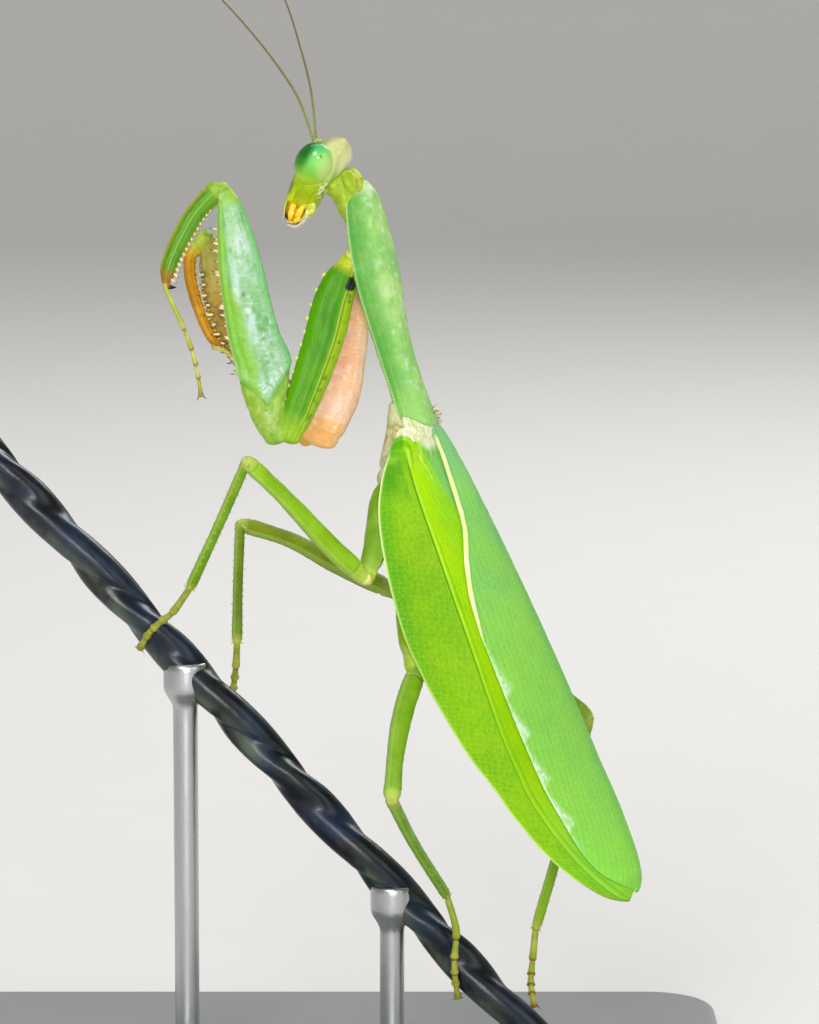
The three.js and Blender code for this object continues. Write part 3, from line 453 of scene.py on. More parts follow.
M = {
    "chitin": surface("waxy_chitin", sss=.12, spec=.15, coat=.07, coat_rough=.18, mottle=(.9, .14), fine=(7., .07), bumps=(("noise", 5., .035), ("cell", 7., .02), ("noise", 26., .012))),
    "gloss": surface("glossy_chitin", sss=.1, spec=.18, coat=.24, coat_rough=.14, mottle=(.8, .12), fine=(6., .07), bumps=(("crease", 1.6, .16), ("noise", 6., .03), ("noise", 24., .01))),
    "wing": surface("leathery_wing", sss=.15, sss_mm=.4, spec=.09, coat=.03, coat_rough=.25, mottle=(.5, .1), fine=(8., .1), hue=.008, bumps=(("net", 2.6, .05), ("noise", 9., .03), ("noise", 30., .008))),
    "veil": surface("hind_wing", sss=.3, coat=.3, coat_rough=.2, mottle=(.7, .1), bumps=(("net", 1.2, .06), ("noise", 10., .01))),
    "membrane": surface("soft_membrane", sss=.2, sss_mm=.8, spec=.3, mottle=(1.4, .22), fine=(8., .12), hue=.02, bumps=(("crease", 1.6, .14), ("noise", 6., .05), ("noise", 22., .02))),
    "eye": surface("compound_eye", sss=.15, sss_mm=.5, spec=.1, coat=.8, coat_rough=.15, mottle=(.5, .06), fine=(12., .05), hue=.006, bumps=(("facet", 11., .05),)),
    "bead": surface("glassy_bead", coat=1., coat_rough=.04, mottle=(2., .2), bumps=(("noise", 8., .01),)),
    "feeler": surface("feeler", mottle=(2., .2), fine=(14., .15), bumps=(("noise", 16., .03),)),
    "wire": surface("wire_sheath", spec=.25, coat=.28, coat_rough=.24, mottle=(.25, .35), fine=(3., .2), hue=.01, bumps=(("noise", .5, .025), ("noise", 2.4, .010), ("noise", 16., .005))),
    "base": surface("satin_base", mottle=(.05, .06), fine=(6., .05), hue=0., bumps=(("noise", 5., .012), ("noise", 24., .006))),
    "rod": surface("brushed_rod", metallic=1., mottle=(.4, .08), fine=(3., .1), hue=0., grain=(1., 1., .06), bumps=(("noise", 9., .01), ("noise", 22., .008))),
}

# ------------------------------------------------------------------ stage, light and camera
def stage():
    n, m = 40, 96
    r = np.r_[np.linspace(0, 1.1, 12)[1:], 1.1 + .6 * np.sin(np.radians(np.linspace(0, 90, n - 11)))[1:]]
    z = np.r_[np.zeros(11), .6 - .6 * np.cos(np.radians(np.linspace(0, 90, n - 11)))[1:]]
    a = np.linspace(0, 2 * np.pi, m, endpoint=False)
    v = np.stack([r[:, None] * np.cos(a), r[:, None] * np.sin(a), np.repeat(z[:, None], m, 1)], -1).reshape(-1, 3)
    v = np.vstack([v, [0, 0, 0]]) - V(0, 0, .00002)
    q = faces_of(len(r), m)[:, ::-1]
    j = np.arange(m)
    t = np.stack([j, (j + 1) % m, np.full(m, len(v) - 1)], -1)
    me = bpy.data.meshes.new("floor")
    me.from_pydata(v.tolist(), [], q.tolist() + t.tolist())
    me.polygons.foreach_set("use_smooth", np.ones(len(me.polygons), bool))
    ob = bpy.data.objects.new("floor", me)
    bpy.context.scene.collection.objects.link(ob)
    mt = bpy.data.materials.new("floor_paint")
    mt.use_nodes = True
    nt = mt.node_tree
    b = nt.nodes["Principled BSDF"]
    ns = nt.nodes.new("ShaderNodeTexNoise")
    ns.inputs["Scale"].default_value = 60
    tc = nt.nodes.new("ShaderNodeTexCoord")
    nt.links.new(tc.outputs["Object"], ns.inputs["Vector"])
    rp = nt.nodes.new("ShaderNodeValToRGB")
    rp.color_ramp.elements[0].color = (.74, .735, .72, 1)
    rp.color_ramp.elements[1].color = (.76, .755, .74, 1)
    nt.links.new(ns.outputs["Fac"], rp.inputs["Fac"])
    nt.links.new(rp.outputs[0], b.inputs["Base Color"])
    b.inputs["Roughness"].default_value = .85
    me.materials.append(mt)


def lamp(name, at, to, size, watts, colour=(1, 1, 1)):
    d = bpy.data.lights.new(name, "AREA")
    d.shape, d.size, d.energy, d.color = "DISK", size, watts, colour
    o = bpy.data.objects.new(name, d)
    bpy.context.scene.collection.objects.link(o)
    o.location = at
    z = unit(V(*at) - V(*to))
    from mathutils import Vector
    o.rotation_euler = Vector(z).to_track_quat("Z", "Y").to_euler()
    o.visible_camera = False
    return o


stage()
lamp("key", (-.13, -.62, .38), (0, 0, .06), .30, 2.9, (1, .99, .96))
lamp("front", (.06, -.50, .10), (0, 0, .062), .10, .70, (1, 1, 1))
lamp("backdrop", (0, .30, 1.1), (0, 1.7, .45), 1.4, 4.6)
lamp("fill", (.62, -.50, .30), (0, 0, .06), .5, 1.1, (1, .99, .98))
lamp("rim", (.34, .52, .52), (0, 0, .07), .36, 1.9, (1, 1, 1))
lamp("top", (-.1, .1, .8), (0, 0, .05), .6, 1.7)
w = bpy.data.worlds.new("studio")
w.use_nodes = True
w.node_tree.nodes["Background"].inputs[0].default_value = (1, .985, .96, 1)
w.node_tree.nodes["Background"].inputs[1].default_value = .26
sc = bpy.context.scene
sc.world = w
sc.view_settings.view_transform = "Standard"
cd = bpy.data.cameras.new("camera")
cam = bpy.data.objects.new("camera", cd)
sc.collection.objects.link(cam)
cam.location = (.009, -.44962, .12463)
cam.rotation_euler = (math.radians(82), 0, 0)
cd.sensor_width, cd.lens = 24., 24 / 2 / (51.2 / 450)
cd.clip_start, cd.clip_end = .01, 20
sc.camera = cam

# ------------------------------------------------------------------ the animal's frames and joints
J = {
    "antL": [[-0.32, -0.3, 97.95], [-0.9, -0.35, 99.9], [-2.19, -0.62, 103.31], [-4.16, -0.99, 106.4], [-6.21, -1.42, 109.08], [-9.14, -2.16, 112.45], [-12.83, -2.87, 116], [-16.51, -3.73, 118.55]],
    "antR": [[-0.3, 1.4, 98.1], [-0.46, 2.3, 100.2], [-0.95, 4.1, 103.9], [-2.04, 6.1, 108.01], [-3.59, 8.36, 112.56], [-5.97, 10.59, 116.94], [-9.08, 12.77, 120.95]],
    "neck": [[2.35, 0.68, 95.27], [2.85, 0.62, 94.18], [3.55, 0.56, 92.98]],
    "proth": [[3.95, 0.81, 94.76], [5.2, -0.15, 87.93], [6.95, -1.17, 79.99], [8.55, -1.82, 74.63], [10.1, -2.32, 70.36]],
    "foreL_coxa": [[3.26, -0.92, 86.79], [1.76, -1.64, 83.85], [0.37, -2.84, 78.86], [-1.51, -4.1, 73.48], [-3, -4.93, 69.77]],
    "foreR_coxa": [[5.13, 2.09, 85.93], [3.21, 1.97, 81.5], [2.8, 1.84, 77.67], [2.19, 1.65, 73.43], [0.27, 1.26, 68.5]],
    "foreL_femur": [[-4.19, -4.96, 69.57], [-4.98, -4.69, 72.15], [-6.47, -4.05, 78.88], [-7.65, -3.28, 85.79], [-8.35, -2.86, 89.54], [-9.24, -2.25, 93.87]],
    "foreR_femur": [[-0.85, 1.44, 67.66], [-2.37, 2.13, 71.14], [-6.12, 3.51, 78.11], [-8.66, 4.55, 83.29], [-10.19, 5.07, 86.29], [-11.6, 5.42, 88.79]],
    "foreL_tibia": [[-10.13, -2.32, 94.08], [-12.01, -2.81, 92.03], [-13.09, -3.24, 90.37], [-13.98, -3.58, 88.71], [-14.77, -3.94, 86.85], [-15.22, -4.19, 85.08]],
    "foreR_tibia": [[-11.79, 4.96, 88.42], [-12.75, 4.57, 87.04], [-12.85, 4.13, 85.35], [-12.45, 3.65, 83.37], [-11.75, 3.34, 81.17], [-10.95, 3.06, 79.17], [-10.25, 2.89, 77.97]],
    "foreL_tarsus": [[-15.25, -4.43, 84.8], [-14.26, -4.86, 82.45], [-13.16, -5.31, 80.01], [-12.36, -5.74, 77.66], [-11.86, -6.17, 75.32], [-11.66, -6.36, 73.94]],
    "foreR_tarsus": [[-10.83, 2.49, 78.01], [-9.47, 1.21, 77.53], [-8.03, 0.19, 76.02], [-6.72, -0.31, 73.86], [-5.61, -0.64, 71.57], [-4.91, -0.87, 69.88]],
    "midL_coxa": [[6.54, -2.8, 63.35], [5.95, -4.55, 60.26], [5.36, -6, 57.85], [4.67, -6.88, 55.87]],
    "midR_coxa": [[9.56, 2.99, 61.43], [8.85, 3.26, 57.59], [7.83, 3.81, 52.87]],
    "hindL_coxa": [[9.15, -2.52, 54.58], [8.95, -4.12, 51.08], [9.35, -6.61, 47.03]],
    "hindR_coxa": [[12.81, 2.25, 55.48], [14.76, 3.27, 51.92], [17.02, 4.14, 48.06]],
    "midL_femur": [[4.47, -7.08, 55.9], [1.13, -8.73, 59.26], [-2.96, -10.78, 64.05], [-6.9, -12.81, 68.28]],
    "midR_femur": [[7.62, 3.97, 52.64], [1.88, 6.12, 54.99], [-3.29, 8.27, 57.37], [-8.38, 9.89, 58.8]],
    "hindL_femur": [[9.75, -6.8, 46.36], [8.55, -11.03, 43.59], [7.68, -16.36, 40.19], [7.3, -21.73, 36.41]],
    "hindR_femur": [[17.23, 4.31, 47.82], [20.92, 8.27, 44.43], [24.27, 12.23, 40.98], [27.76, 15.76, 37.36]],
    "midL_tibia": [[-7, -12.74, 68.07], [-9.44, -11.41, 62.45], [-12.75, -9.01, 55.1]],
    "midR_tibia": [[-8.48, 9.66, 58.62], [-8.51, 4.29, 53.41], [-8.42, -1.37, 48.37]],
    "hindL_tibia": [[7.3, -21.37, 36.14], [9.35, -13.89, 30.46], [12.79, -4.45, 22.86]],
    "hindR_tibia": [[27.75, 15.54, 37.19], [25.32, 10.71, 27.28], [22.05, 5.44, 17.1]],
    "midL_tarsus": [[-12.75, -9.01, 55.1], [-14.72, -6, 52.1], [-16.23, -4.18, 50.68], [-17.18, -3.41, 49.64], [-18.2, -1.75, 47.82]],
    "midR_tarsus": [[-8.42, -1.37, 48.37], [-8.6, 0.39, 45.81], [-8.88, 1.88, 43.48], [-9.11, 2.44, 41.72], [-9.22, 2.45, 40.37]],
    "hindL_tarsus": [[12.79, -4.45, 22.86], [13.71, -4.34, 19.31], [13.56, -4.35, 16.41], [13.62, -4.04, 14.26], [13.94, -2.56, 11.91]],
    "hindR_tarsus": [[22.05, 5.44, 17.1], [21.75, 3.9, 14.72], [21.5, 2.17, 12.51], [21.58, 1, 11.33], [21.76, 0.06, 10.41]],
}
WA, WB = V(-34.76, 0.21, 68.93), V(22.85, -1.75, 6.1)
RODS = [V(-13.73, -0.5, 45.96), V(7.22, -1.19, 23.11)]
ROOT = V(10.85, -2.83, 70.32)
TAIL = unit(V(0.3985, -0.1276, -0.9083))
SIDE = unit(V(0.9172, 0.0555, 0.3946))
FACE = unit(np.cross(SIDE, TAIL))
FACE = -FACE if FACE[1] > 0 else FACE
_r = math.radians(40)
DORSAL = SIDE * math.cos(_r) + FACE * math.sin(_r)
LEFT = -SIDE * math.sin(_r) + FACE * math.cos(_r)
OUT = FACE


def body(s, u, v):
    s, u, v = [np.asarray(x, float)[..., None] for x in (s, u, v)]
    return ROOT + TAIL * s + LEFT * u + DORSAL * v


HUP = unit(V(0.485, 0.1216, 0.8655))
HFWD = unit(V(-0.874, 0.0675, 0.480))
HLEFT = unit(np.cross(HUP, HFWD))
HLEFT = -HLEFT if HLEFT[1] > 0 else HLEFT
HEAD_C = V(-0.15, 0.62, 94.88)


def head(x, f, u):
    x, f, u = [np.asarray(a, float)[..., None] for a in (x, f, u)]
    return HEAD_C + HLEFT * x + HFWD * f + HUP * u


def in_head(P):
    d = P - HEAD_C
    return d @ HLEFT, d @ HFWD, d @ HUP


# ------------------------------------------------------------------ head
C = {k: lin(v) for k, v in dict(
    cream="#E2DDAE", tan="#C9A94E", pale="#F1F4C4", olive="#A4BE12", yellow="#E6EE20", deep="#2C8A10", face="#8CC41E", orange="#F0A010", red="#D85A10",
    emerald="#067A24", teal="#3CC484", mint="#A2E67C", lime="#92CE20", dark="#120C08", white="#F4F4EC", brown="#6A3A12", lilac="#DAD4E2",
    feeler="#6E6A2C", neck="#B4D63C", shield="#96D274", shield2="#B4E090", rim="#58BC78", blue="#86C8A8").items()}
headKeys = [[4.72, -.36, 1.8, .66], [4.3, -.36, 2.5, 1.14], [3.2, -.2, 2.95, 1.76], [1.6, .1, 3.0, 1.92], [.1, .38, 2.75, 1.84], [-1.3, .42, 2.2, 1.78], [-2.5, .34, 1.75, 1.66], [-3.1, .5, 1.55, 1.36], [-3.45, .72, 1.3, 1.0]]
EYE = dict(x=2.86, f=1.03, u=.95, r=(1.72, 1.85, 2.3))
LEAN = .32


def eye_q(x, f, u):
    """How far out of the nearer eye's own ellipsoid a point is; 1 on its face."""
    s = np.sign(x)
    dx, df, du = x - s * EYE["x"], f - EYE["f"], u - EYE["u"]
    return np.sqrt(((dx - s * LEAN * du) / EYE["r"][0]) ** 2 + (df / EYE["r"][1]) ** 2 + (du / EYE["r"][2]) ** 2)


def head_disp(T, TH, P, N):
    x, f, u = in_head(P)
    ax = np.abs(x)
    q = eye_q(x, f, u)
    front = sstep(.6, 1.2, f)
    d = .30 * bell(q - .98, np.where(q < .98, .15, .36))
    # antenna sockets with a raised rim
    ra = np.hypot(ax - .78, (u - 2.55))
    d += front * (.16 * bell(ra - .46, .10) - .22 * bell(ra, .3))
    # frontal shield: a broad five-sided plate with a keel over it
    plate = sstep(1.75, 1.55, ax + .35 * np.abs(u - 1.2)) * sstep(.35, .5, u) * sstep(2.05, 1.9, u)
    d += front * (.10 * plate + .10 * bell(u - 1.92, .07) * sstep(1.5, 1.2, ax))
    # clypeus sutures and the grooves that run down the cheeks
    d -= front * (.09 * bell(u - .38, .07) + .08 * bell(u + 1.0, .07)) * sstep(1.9, 1.5, ax)
    side = sstep(1.0, 1.6, ax)
    d -= side * .09 * bell(f - (1.05 + .1 * u), .09) * sstep(-.7, -1.1, u)
    d -= side * .07 * bell(f + .35, .1) * sstep(-1.1, -1.6, u)
    # crown: four grooves between low lobes
    crown = sstep(2.5, 3.3, u)
    d -= crown * (.025 * bell(ax - .75, .09) + .02 * bell(ax - 1.95, .1)) * sstep(-2.2, -.6, f)
    d += crown * .012 * bell(ax - 1.35, .35)
    # raised rear rim of the cheeks and crown
    rear = bell(f + 1.75 - .1 * (u - 1), .28)
    d += .05 * rear * side * sstep(4.4, 3.6, u)
    d -= .04 * bell(f + 1.25 - .1 * (u - 1), .12) * side * sstep(4.2, 3.2, u) * sstep(-2.6, -1.8, u)
    d += .03 * fbm(P * 1.1, 3, 4) + .018 * fbm(P * 4., 9, 3)
    # pits behind and below the eye
    f1, _ = cells(f * 4.2 + 30, u * 4.2 + 30, 5)
    d -= .05 * bell(f1, .25) * side * sstep(1.8, .6, u) * sstep(-2.6, -1.2, u) * sstep(.2, -.8, f)
    return d


def head_col(p):
    P = p["v"]
    x, f, u = in_head(P)
    ax = np.abs(x)
    n = fbm(P * .9, 21, 3)
    n2 = fbm(P * 3., 22, 3)
    c = mixc(C["face"], C["olive"], sstep(.6, -1.6, u + .3 * n))
    c = mixc(c, lin("#C4C80E"), sstep(-1.6, -3., u + .4 * n2) * .7)
    # yellow stripe down the side of the lower face; dark green front edge, partly its own colour and partly painted
    # shade where the face turns away
    st = bell(f - 1.46 - .13 * (u + 2.4), .2) * sstep(-.8, -1.6, u + .25 * n2) * sstep(-3.7, -3.2, u)
    c = mixc(c, C["yellow"], st * .95)
    c = mixc(c, C["deep"], sstep(1.78, 2.05, f + .04 * n2) * sstep(.8, -.2, u) * sstep(-3.4, -2.6, u) * .85)
    c = mixc(c, lin("#3F8F0E"), bell(f - 1.05, .16) * sstep(-.9, -1.5, u) * sstep(-3.1, -2.5, u) * .35)
    # cream crown and occiput
    cr = sstep(1.5, 2.7, u + .55 * np.maximum(0, -f) + .2 * n) * sstep(1.7, .5, f)
    c = mixc(c, C["cream"], cr)
    c = mixc(c, C["tan"], bell(u - 4.85, .22) * sstep(1.2, .4, f) * .5)
    c = mixc(c, C["white"], sstep(.25, .7, n2) * cr * .5)
    c = mixc(c, C["pale"], bell(f + 1.85 - .1 * (u - 1), .28) * sstep(1., 1.6, ax) * .85)
    c = mixc(c, C["pale"], sstep(.1, .55, n2) * sstep(.4, -.5, u) * sstep(-2.6, -1.6, u) * sstep(-.3, -1., f) * .75)
    # the ring round each eye
    q = eye_q(x, f, u)
    c = mixc(c, lin("#D0E478"), bell(q - 1.10, .10) * .18)
    c = mixc(c, lin("#B0D01A"), sstep(1.5, 1.05, q) * sstep(.5, -.9, u) * .9)
    c = mixc(c, lin("#DCF0B0"), sstep(1.75, 1.08, q) * sstep(-.4, .6, u) * sstep(.9, -.2, f) * .8)
    c = mixc(c, lin("#CDBB72"), bell(np.sin(2.4 * (f + .45 * u) + 1.2 * n), .16) * cr * .35)
    c = mixc(c, lin("#E08A1A"), sstep(-3.2, -3.5, u + .1 * n2) * sstep(-.2, .4, f) * .75)
    c = c * np.array([.70, .72, .52])
    c = mixc(c, lin("#E4EAB8"), sstep(-.05, .35, n2) * sstep(.7, .1, u) * sstep(-2.4, -1.3, u) * sstep(-.35, -.8, f) * .9)
    return mixc(c, lin("#E2DFB4"), sstep(-.9, -1.7, f) * sstep(1.0, 2.0, u) * (.35 + .4 * sstep(-.3, .4, n2)))


_hs = [[(4.72 - k[0]) / 8.17, k[2], k[3], k[1]] for k in headKeys]
head_shell = paint(loft([head(0, 0, 4.72), head(0, 0, -3.45)], HFWD, _hs, n=190, m=200, cap=(.34, .35), k=10, disp=head_disp,
                        sect=lambda T, TH, a, b: (np.sign(a) * np.abs(a) ** .86, np.sign(b) * np.abs(b) ** .9)), head_col, (.36, 1, .8))
parts = [head_shell]
for x, f, u in ((0, 2.02, 3.02), (.42, 1.86, 3.5), (-.42, 1.86, 3.5)):
    parts.append(paint(blob(head(x, f - .16, u), [HLEFT, HFWD, HUP], (.17, .17, .2), 24, 14), lin("#B8C860"), (.1, .3, .1)))
head_ob = put("mantis_head", parts, M["chitin"], ["head"])

# eyes: tall, egg-shaped, finely faceted
for side, nm in ((1, "left"), (-1, "right")):
    ax = [HLEFT, HFWD, unit(HUP + HLEFT * side * LEAN)]

    def eye_shape(d, side=side):
        return .035 * d[:, 2] * np.abs(d[:, 1]) - .03 * bell(d[:, 2] + 1, .5) + .012 * np.maximum(0, d[:, 2])

    e = blob(head(side * EYE["x"], EYE["f"], EYE["u"]), ax, EYE["r"], 150, 110, eye_shape)

    def eye_col(p, side=side):
        d = p["d"]
        f, u, o = d[:, 1], d[:, 2], d[:, 0] * side
        P = p["v"]
        n = fbm(P * .55, 40, 2) * .12
        c = np.broadcast_to(C["mint"], (len(d), 3))
        c = mixc(c, lin("#7EDC84"), sstep(-.5, .5, f + n))
        c = mixc(c, lin("#52D47C"), sstep(-.1, .7, .35 * f + .7 * u + n) * .8)
        c = mixc(c, C["teal"], bell(np.hypot((f - .05) * 1.3, (u - .82) * 1.5), .42) * .8)
        c = mixc(c, C["emerald"] * .82, sstep(.10, .62, f + .16 * u + n) * sstep(-.55, .2, u + .2 * f))
        c = mixc(c, lin("#2E8C08"), sstep(.12, .62, f + n) * sstep(.25, -.25, u) * sstep(-1.02, -.6, u))
        c = mixc(c, lin("#8CC818"), sstep(-.05, -.62, u + .10 * f + n) * .9)
        c = mixc(c, lin("#C4E23A"), sstep(-.42, -.8, u + .1 * f + n) * sstep(.75, .35, f) * .85)
        c = mixc(c, lin("#D8ECA0"), sstep(-.42, -.9, f + n) * .8)
        # soft paler glow over the centre of the outer face
        c = mixc(c, lin("#6CCC4C"), bell(np.hypot(f - .02, u + .3), .36) * sstep(.2, .8, o) * .55)
        c = mixc(c, lin("#BCDC98"), bell(np.hypot((f + .66) * 1.2, (u - .2) * .8), .44) * sstep(.1, .6, o) * .75)
        # false pupil and a few dark facets
        pf, pu = (.66 - EYE["f"]) / EYE["r"][1], (1.92 - EYE["u"]) / EYE["r"][2]
        c = mixc(c, lin("#1E4A2C"), bell(np.hypot((f - pf) * 1.1, (u - pu)), .055) * (o > 0) * .9)
        g1, _ = cells(f * 9 + 20, u * 9 + 20, 12)
        pick = sstep(.35, .6, vnoise(np.stack([f * 3, u * 3, u * 0], -1), 77))
        c = mixc(c, lin("#0A6A30"), bell(g1, .16) * pick * .35)
        # lighter band near the rim where the eye meets the head: partly blending into the head's colours, partly
        # painted light against the shade of the eye's curving edge
        c = mixc(c, lin("#CCEA34"), sstep(.46, .06, o) * sstep(.1, -.4, u) * sstep(.75, .35, f) * .9)
        c = mixc(c, lin("#E4F4B4"), sstep(.46, .06, o) * sstep(.0, -.4, f) * sstep(-.5, .0, u) * .85)
        return c * np.array([.80, .84, .60])

    put(f"compound_eye_{nm}", [paint(e, eye_col, (.13, .5, .7))], M["eye"], [f"eye_{nm}"])

# ------------------------------------------------------------------ mouth, palps and feelers
def hp(*rows):
    return np.array([head(*r) for r in rows])


parts = []


def lip_col(p):
    x, f, u = in_head(p["v"])
    n = fbm(p["v"] * 2.5, 31, 3)
    c = mixc(lin("#A8BE24"), lin("#D2CC84"), sstep(-3.2, -4.6, u + .3 * n))
    return mixc(c, C["lilac"], sstep(-4.6, -5.1, u) * .4)


# upper lip: a thin blade hanging from the face
parts.append(paint(loft(hp((0, 1.62, -2.6), (0, 1.62, -3.6), (0, 1.3, -4.6), (0, .98, -5.25)), HFWD,
                        [[0, 1.15, .34], [.3, 1.2, .26], [.7, 1.0, .18], [.93, .72, .13], [1, .5, .08]], n=60, m=48, k=8,
                        disp=lambda T, TH, P, N: -.05 * bell(in_head(P)[0], .12) + .03 * fbm(P * 3, 2, 3) - .04 * bell(T - .28, .03)), lip_col, (.34, 1, .8)))


def jaw_col(p):
    x, f, u = in_head(p["v"])
    c = mixc(lin("#B4A81A"), lin("#B88A1A"), sstep(-2.9, -3.7, u))
    # red-orange band at the base of the mandibles is painted shadow
    c = mixc(c, lin("#B04A14"), bell(u + 3.75, .22) * .55)
    c = mixc(c, lin("#6A5A18"), sstep(-3.8, -4.2, u) * .6)
    return mixc(c, C["dark"], sstep(-4.3, -4.75, u))


def lobe_col(a="#F0BE12", b="#FADC4A"):
    def f(p):
        n = fbm(p["v"] * 3.5, 33, 3)
        c = mixc(lin(a), lin(b), sstep(-.3, .5, n))
        c = mixc(c, lin("#FBE9A8"), sstep(.25, .6, n) * .6)
        return mixc(c, lin("#D8560F"), bell(p["T"], .10) * .7)
    return f


def lab_col(p):
    x, f, u = in_head(p["v"])
    n = fbm(p["v"] * 2.5, 35, 3)
    c = mixc(lin("#C6D444"), lin("#E6E6C8"), sstep(-3.0, -3.9, u + .3 * n))
    c = mixc(c, C["lilac"], sstep(-3.6, -4.4, u) * .65)
    return mixc(c, lin("#D8D2B8"), sstep(-5.0, -5.3, u) * .6)


for k in (1, -1):
    parts.append(paint(loft(hp((k * .95, .9, -3.0), (k * .95, 1.02, -3.7), (k * .7, .98, -4.35), (k * .22, .8, -4.85)), HLEFT * k,
                            [[0, .42, .44], [.35, .42, .42], [.75, .3, .3], [1, .12, .1]], n=36, m=28, disp=lambda T, TH, P, N: .03 * fbm(P * 3, 4, 3)), jaw_col, (.25, 1, .6)))
    # inner and outer lobes of the maxilla
    parts.append(paint(loft(hp((k * 1.15, .92, -3.25), (k * 1.28, .80, -3.75), (k * 1.22, .64, -4.3), (k * .98, .48, -4.9)), HLEFT * k, [[0, .26, .24], [.2, .34, .31], [.6, .34, .32], [.85, .26, .25], [1, .12, .11]], n=40, m=26,
                            disp=lambda T, TH, P, N: -.05 * bell(T - .42, .03) + .02 * fbm(P * 4, 5, 3)), lobe_col(), (.25, 1, .5)))
    parts.append(paint(loft(hp((k * .85, .32, -3.1), (k * .9, .32, -4.0), (k * .6, .25, -4.95)), HLEFT * k, [[0, .26, .26], [.3, .3, .27], [.7, .28, .25], [1, .14, .12]], n=34, m=24,
                            disp=lambda T, TH, P, N: .02 * fbm(P * 4, 6, 3)), lobe_col("#E89A1A", "#F0BC30"), (.28, 1, .5)))
    # cheek plate of the maxilla, at the back
    parts.append(paint(loft(hp((k * .95, -.55, -2.3), (k * 1.15, -.8, -3.0), (k * .95, -.72, -3.9)), HLEFT * k, [[0, .5, .5], [.3, .54, .46], [.7, .38, .32], [1, .16, .14]], n=34, m=26,
                            disp=lambda T, TH, P, N: .04 * fbm(P * 2.5, 7, 3)), lambda p: mixc(lin("#B4C424"), lin("#DADE8C"), sstep(-.25, .45, fbm(p["v"] * 2.2, 8, 3))), (.35, 1, .8)))
    # short palp of the lower lip, three joints
    q = hp((k * .72, -.62, -3.6), (k * .95, -.5, -4.3), (k * .85, .05, -4.9), (k * .6, .62, -5.15))
    parts.append(paint(loft(q, HLEFT, [[0, .15, .15], [1, .13, .13]], n=44, m=16, disp=lambda T, TH, P, N: -.05 * sum(bell(T - c, .02) for c in (.3, .62))), lobe_col("#E0B434", "#EED07A"), (.3, 1, .5)))
# lower lip: a plate that turns forward under the mouth
parts.append(paint(loft(hp((0, -.35, -2.5), (0, -.68, -3.4), (0, -.66, -4.4), (0, -.3, -5.15), (0, .55, -5.38)), HFWD,
                        [[0, .9, .4], [.3, .86, .3], [.65, .72, .2], [.9, .55, .15], [1, .4, .1]], n=70, m=44,
                        disp=lambda T, TH, P, N: .03 * fbm(P * 2.5, 9, 3) - .05 * bell(in_head(P)[0], .08) * sstep(.4, .7, T) - .05 * bell(T - .42, .02)), lab_col, (.34, 1, .8)))
# tongue and mouth cavity, painted near-black as the shade inside the opening
parts.append(paint(blob(head(0, .45, -4.0), [HLEFT, HFWD, HUP], (.7, .45, .8), 24, 16), lin("#2A0E08"), (.5, .5, 1)))
put("mouth_pieces", parts, M["membrane"], ["mouthparts"])

for side, nm in ((1, "left"), (-1, "right")):
    path = hp((side * 1.35, -.12, -2.9), (side * 1.52, -.02, -3.4), (side * 1.46, -.06, -4.0), (side * 1.25, -.1, -4.5), (side * 1.02, -.04, -4.92))
    marks = (.1, .2, .45, .72)
    keys = [[0, .24, .24], [.2, .29, .29], [.4, .32, .32], [.6, .32, .31], [.8, .27, .26], [1, .13, .12]]

    def palp_col(p):
        n = fbm(p["v"] * 4, 12, 3)
        c = mixc(lin("#F2C00E"), lin("#FCE04A"), sstep(-.4, .5, n))
        for m_ in marks:
            c = mixc(c, lin("#D9681A"), bell(p["T"] - m_, .014) * .4)
        return mixc(c, lin("#FCEFC0"), sstep(.25, .55, n) * .6) * np.array([.95, .98, .7])

    pal = paint(loft(path, HLEFT, keys, n=80, m=22, k=6, disp=lambda T, TH, P, N: -.035 * sum(bell(T - m_, .016) for m_ in marks)), palp_col, (.25, 1, .5))
    r = np.random.default_rng(5 + side)
    P = Path(path)
    tt = r.uniform(.3, .98, 60)
    dd = unit(r.normal(size=(60, 3)))
    dd = unit(dd - P.tan(tt) * (dd * P.tan(tt)).sum(-1, keepdims=True) * .6)
    put(f"jaw_palp_{nm}", [pal, spikes(P.at(tt) + dd * .2, dd, .16, .012, lin("#D8B060"), lin("#A07830"), sides=3, rings=2)], M["membrane"], [f"palp_{nm}"])

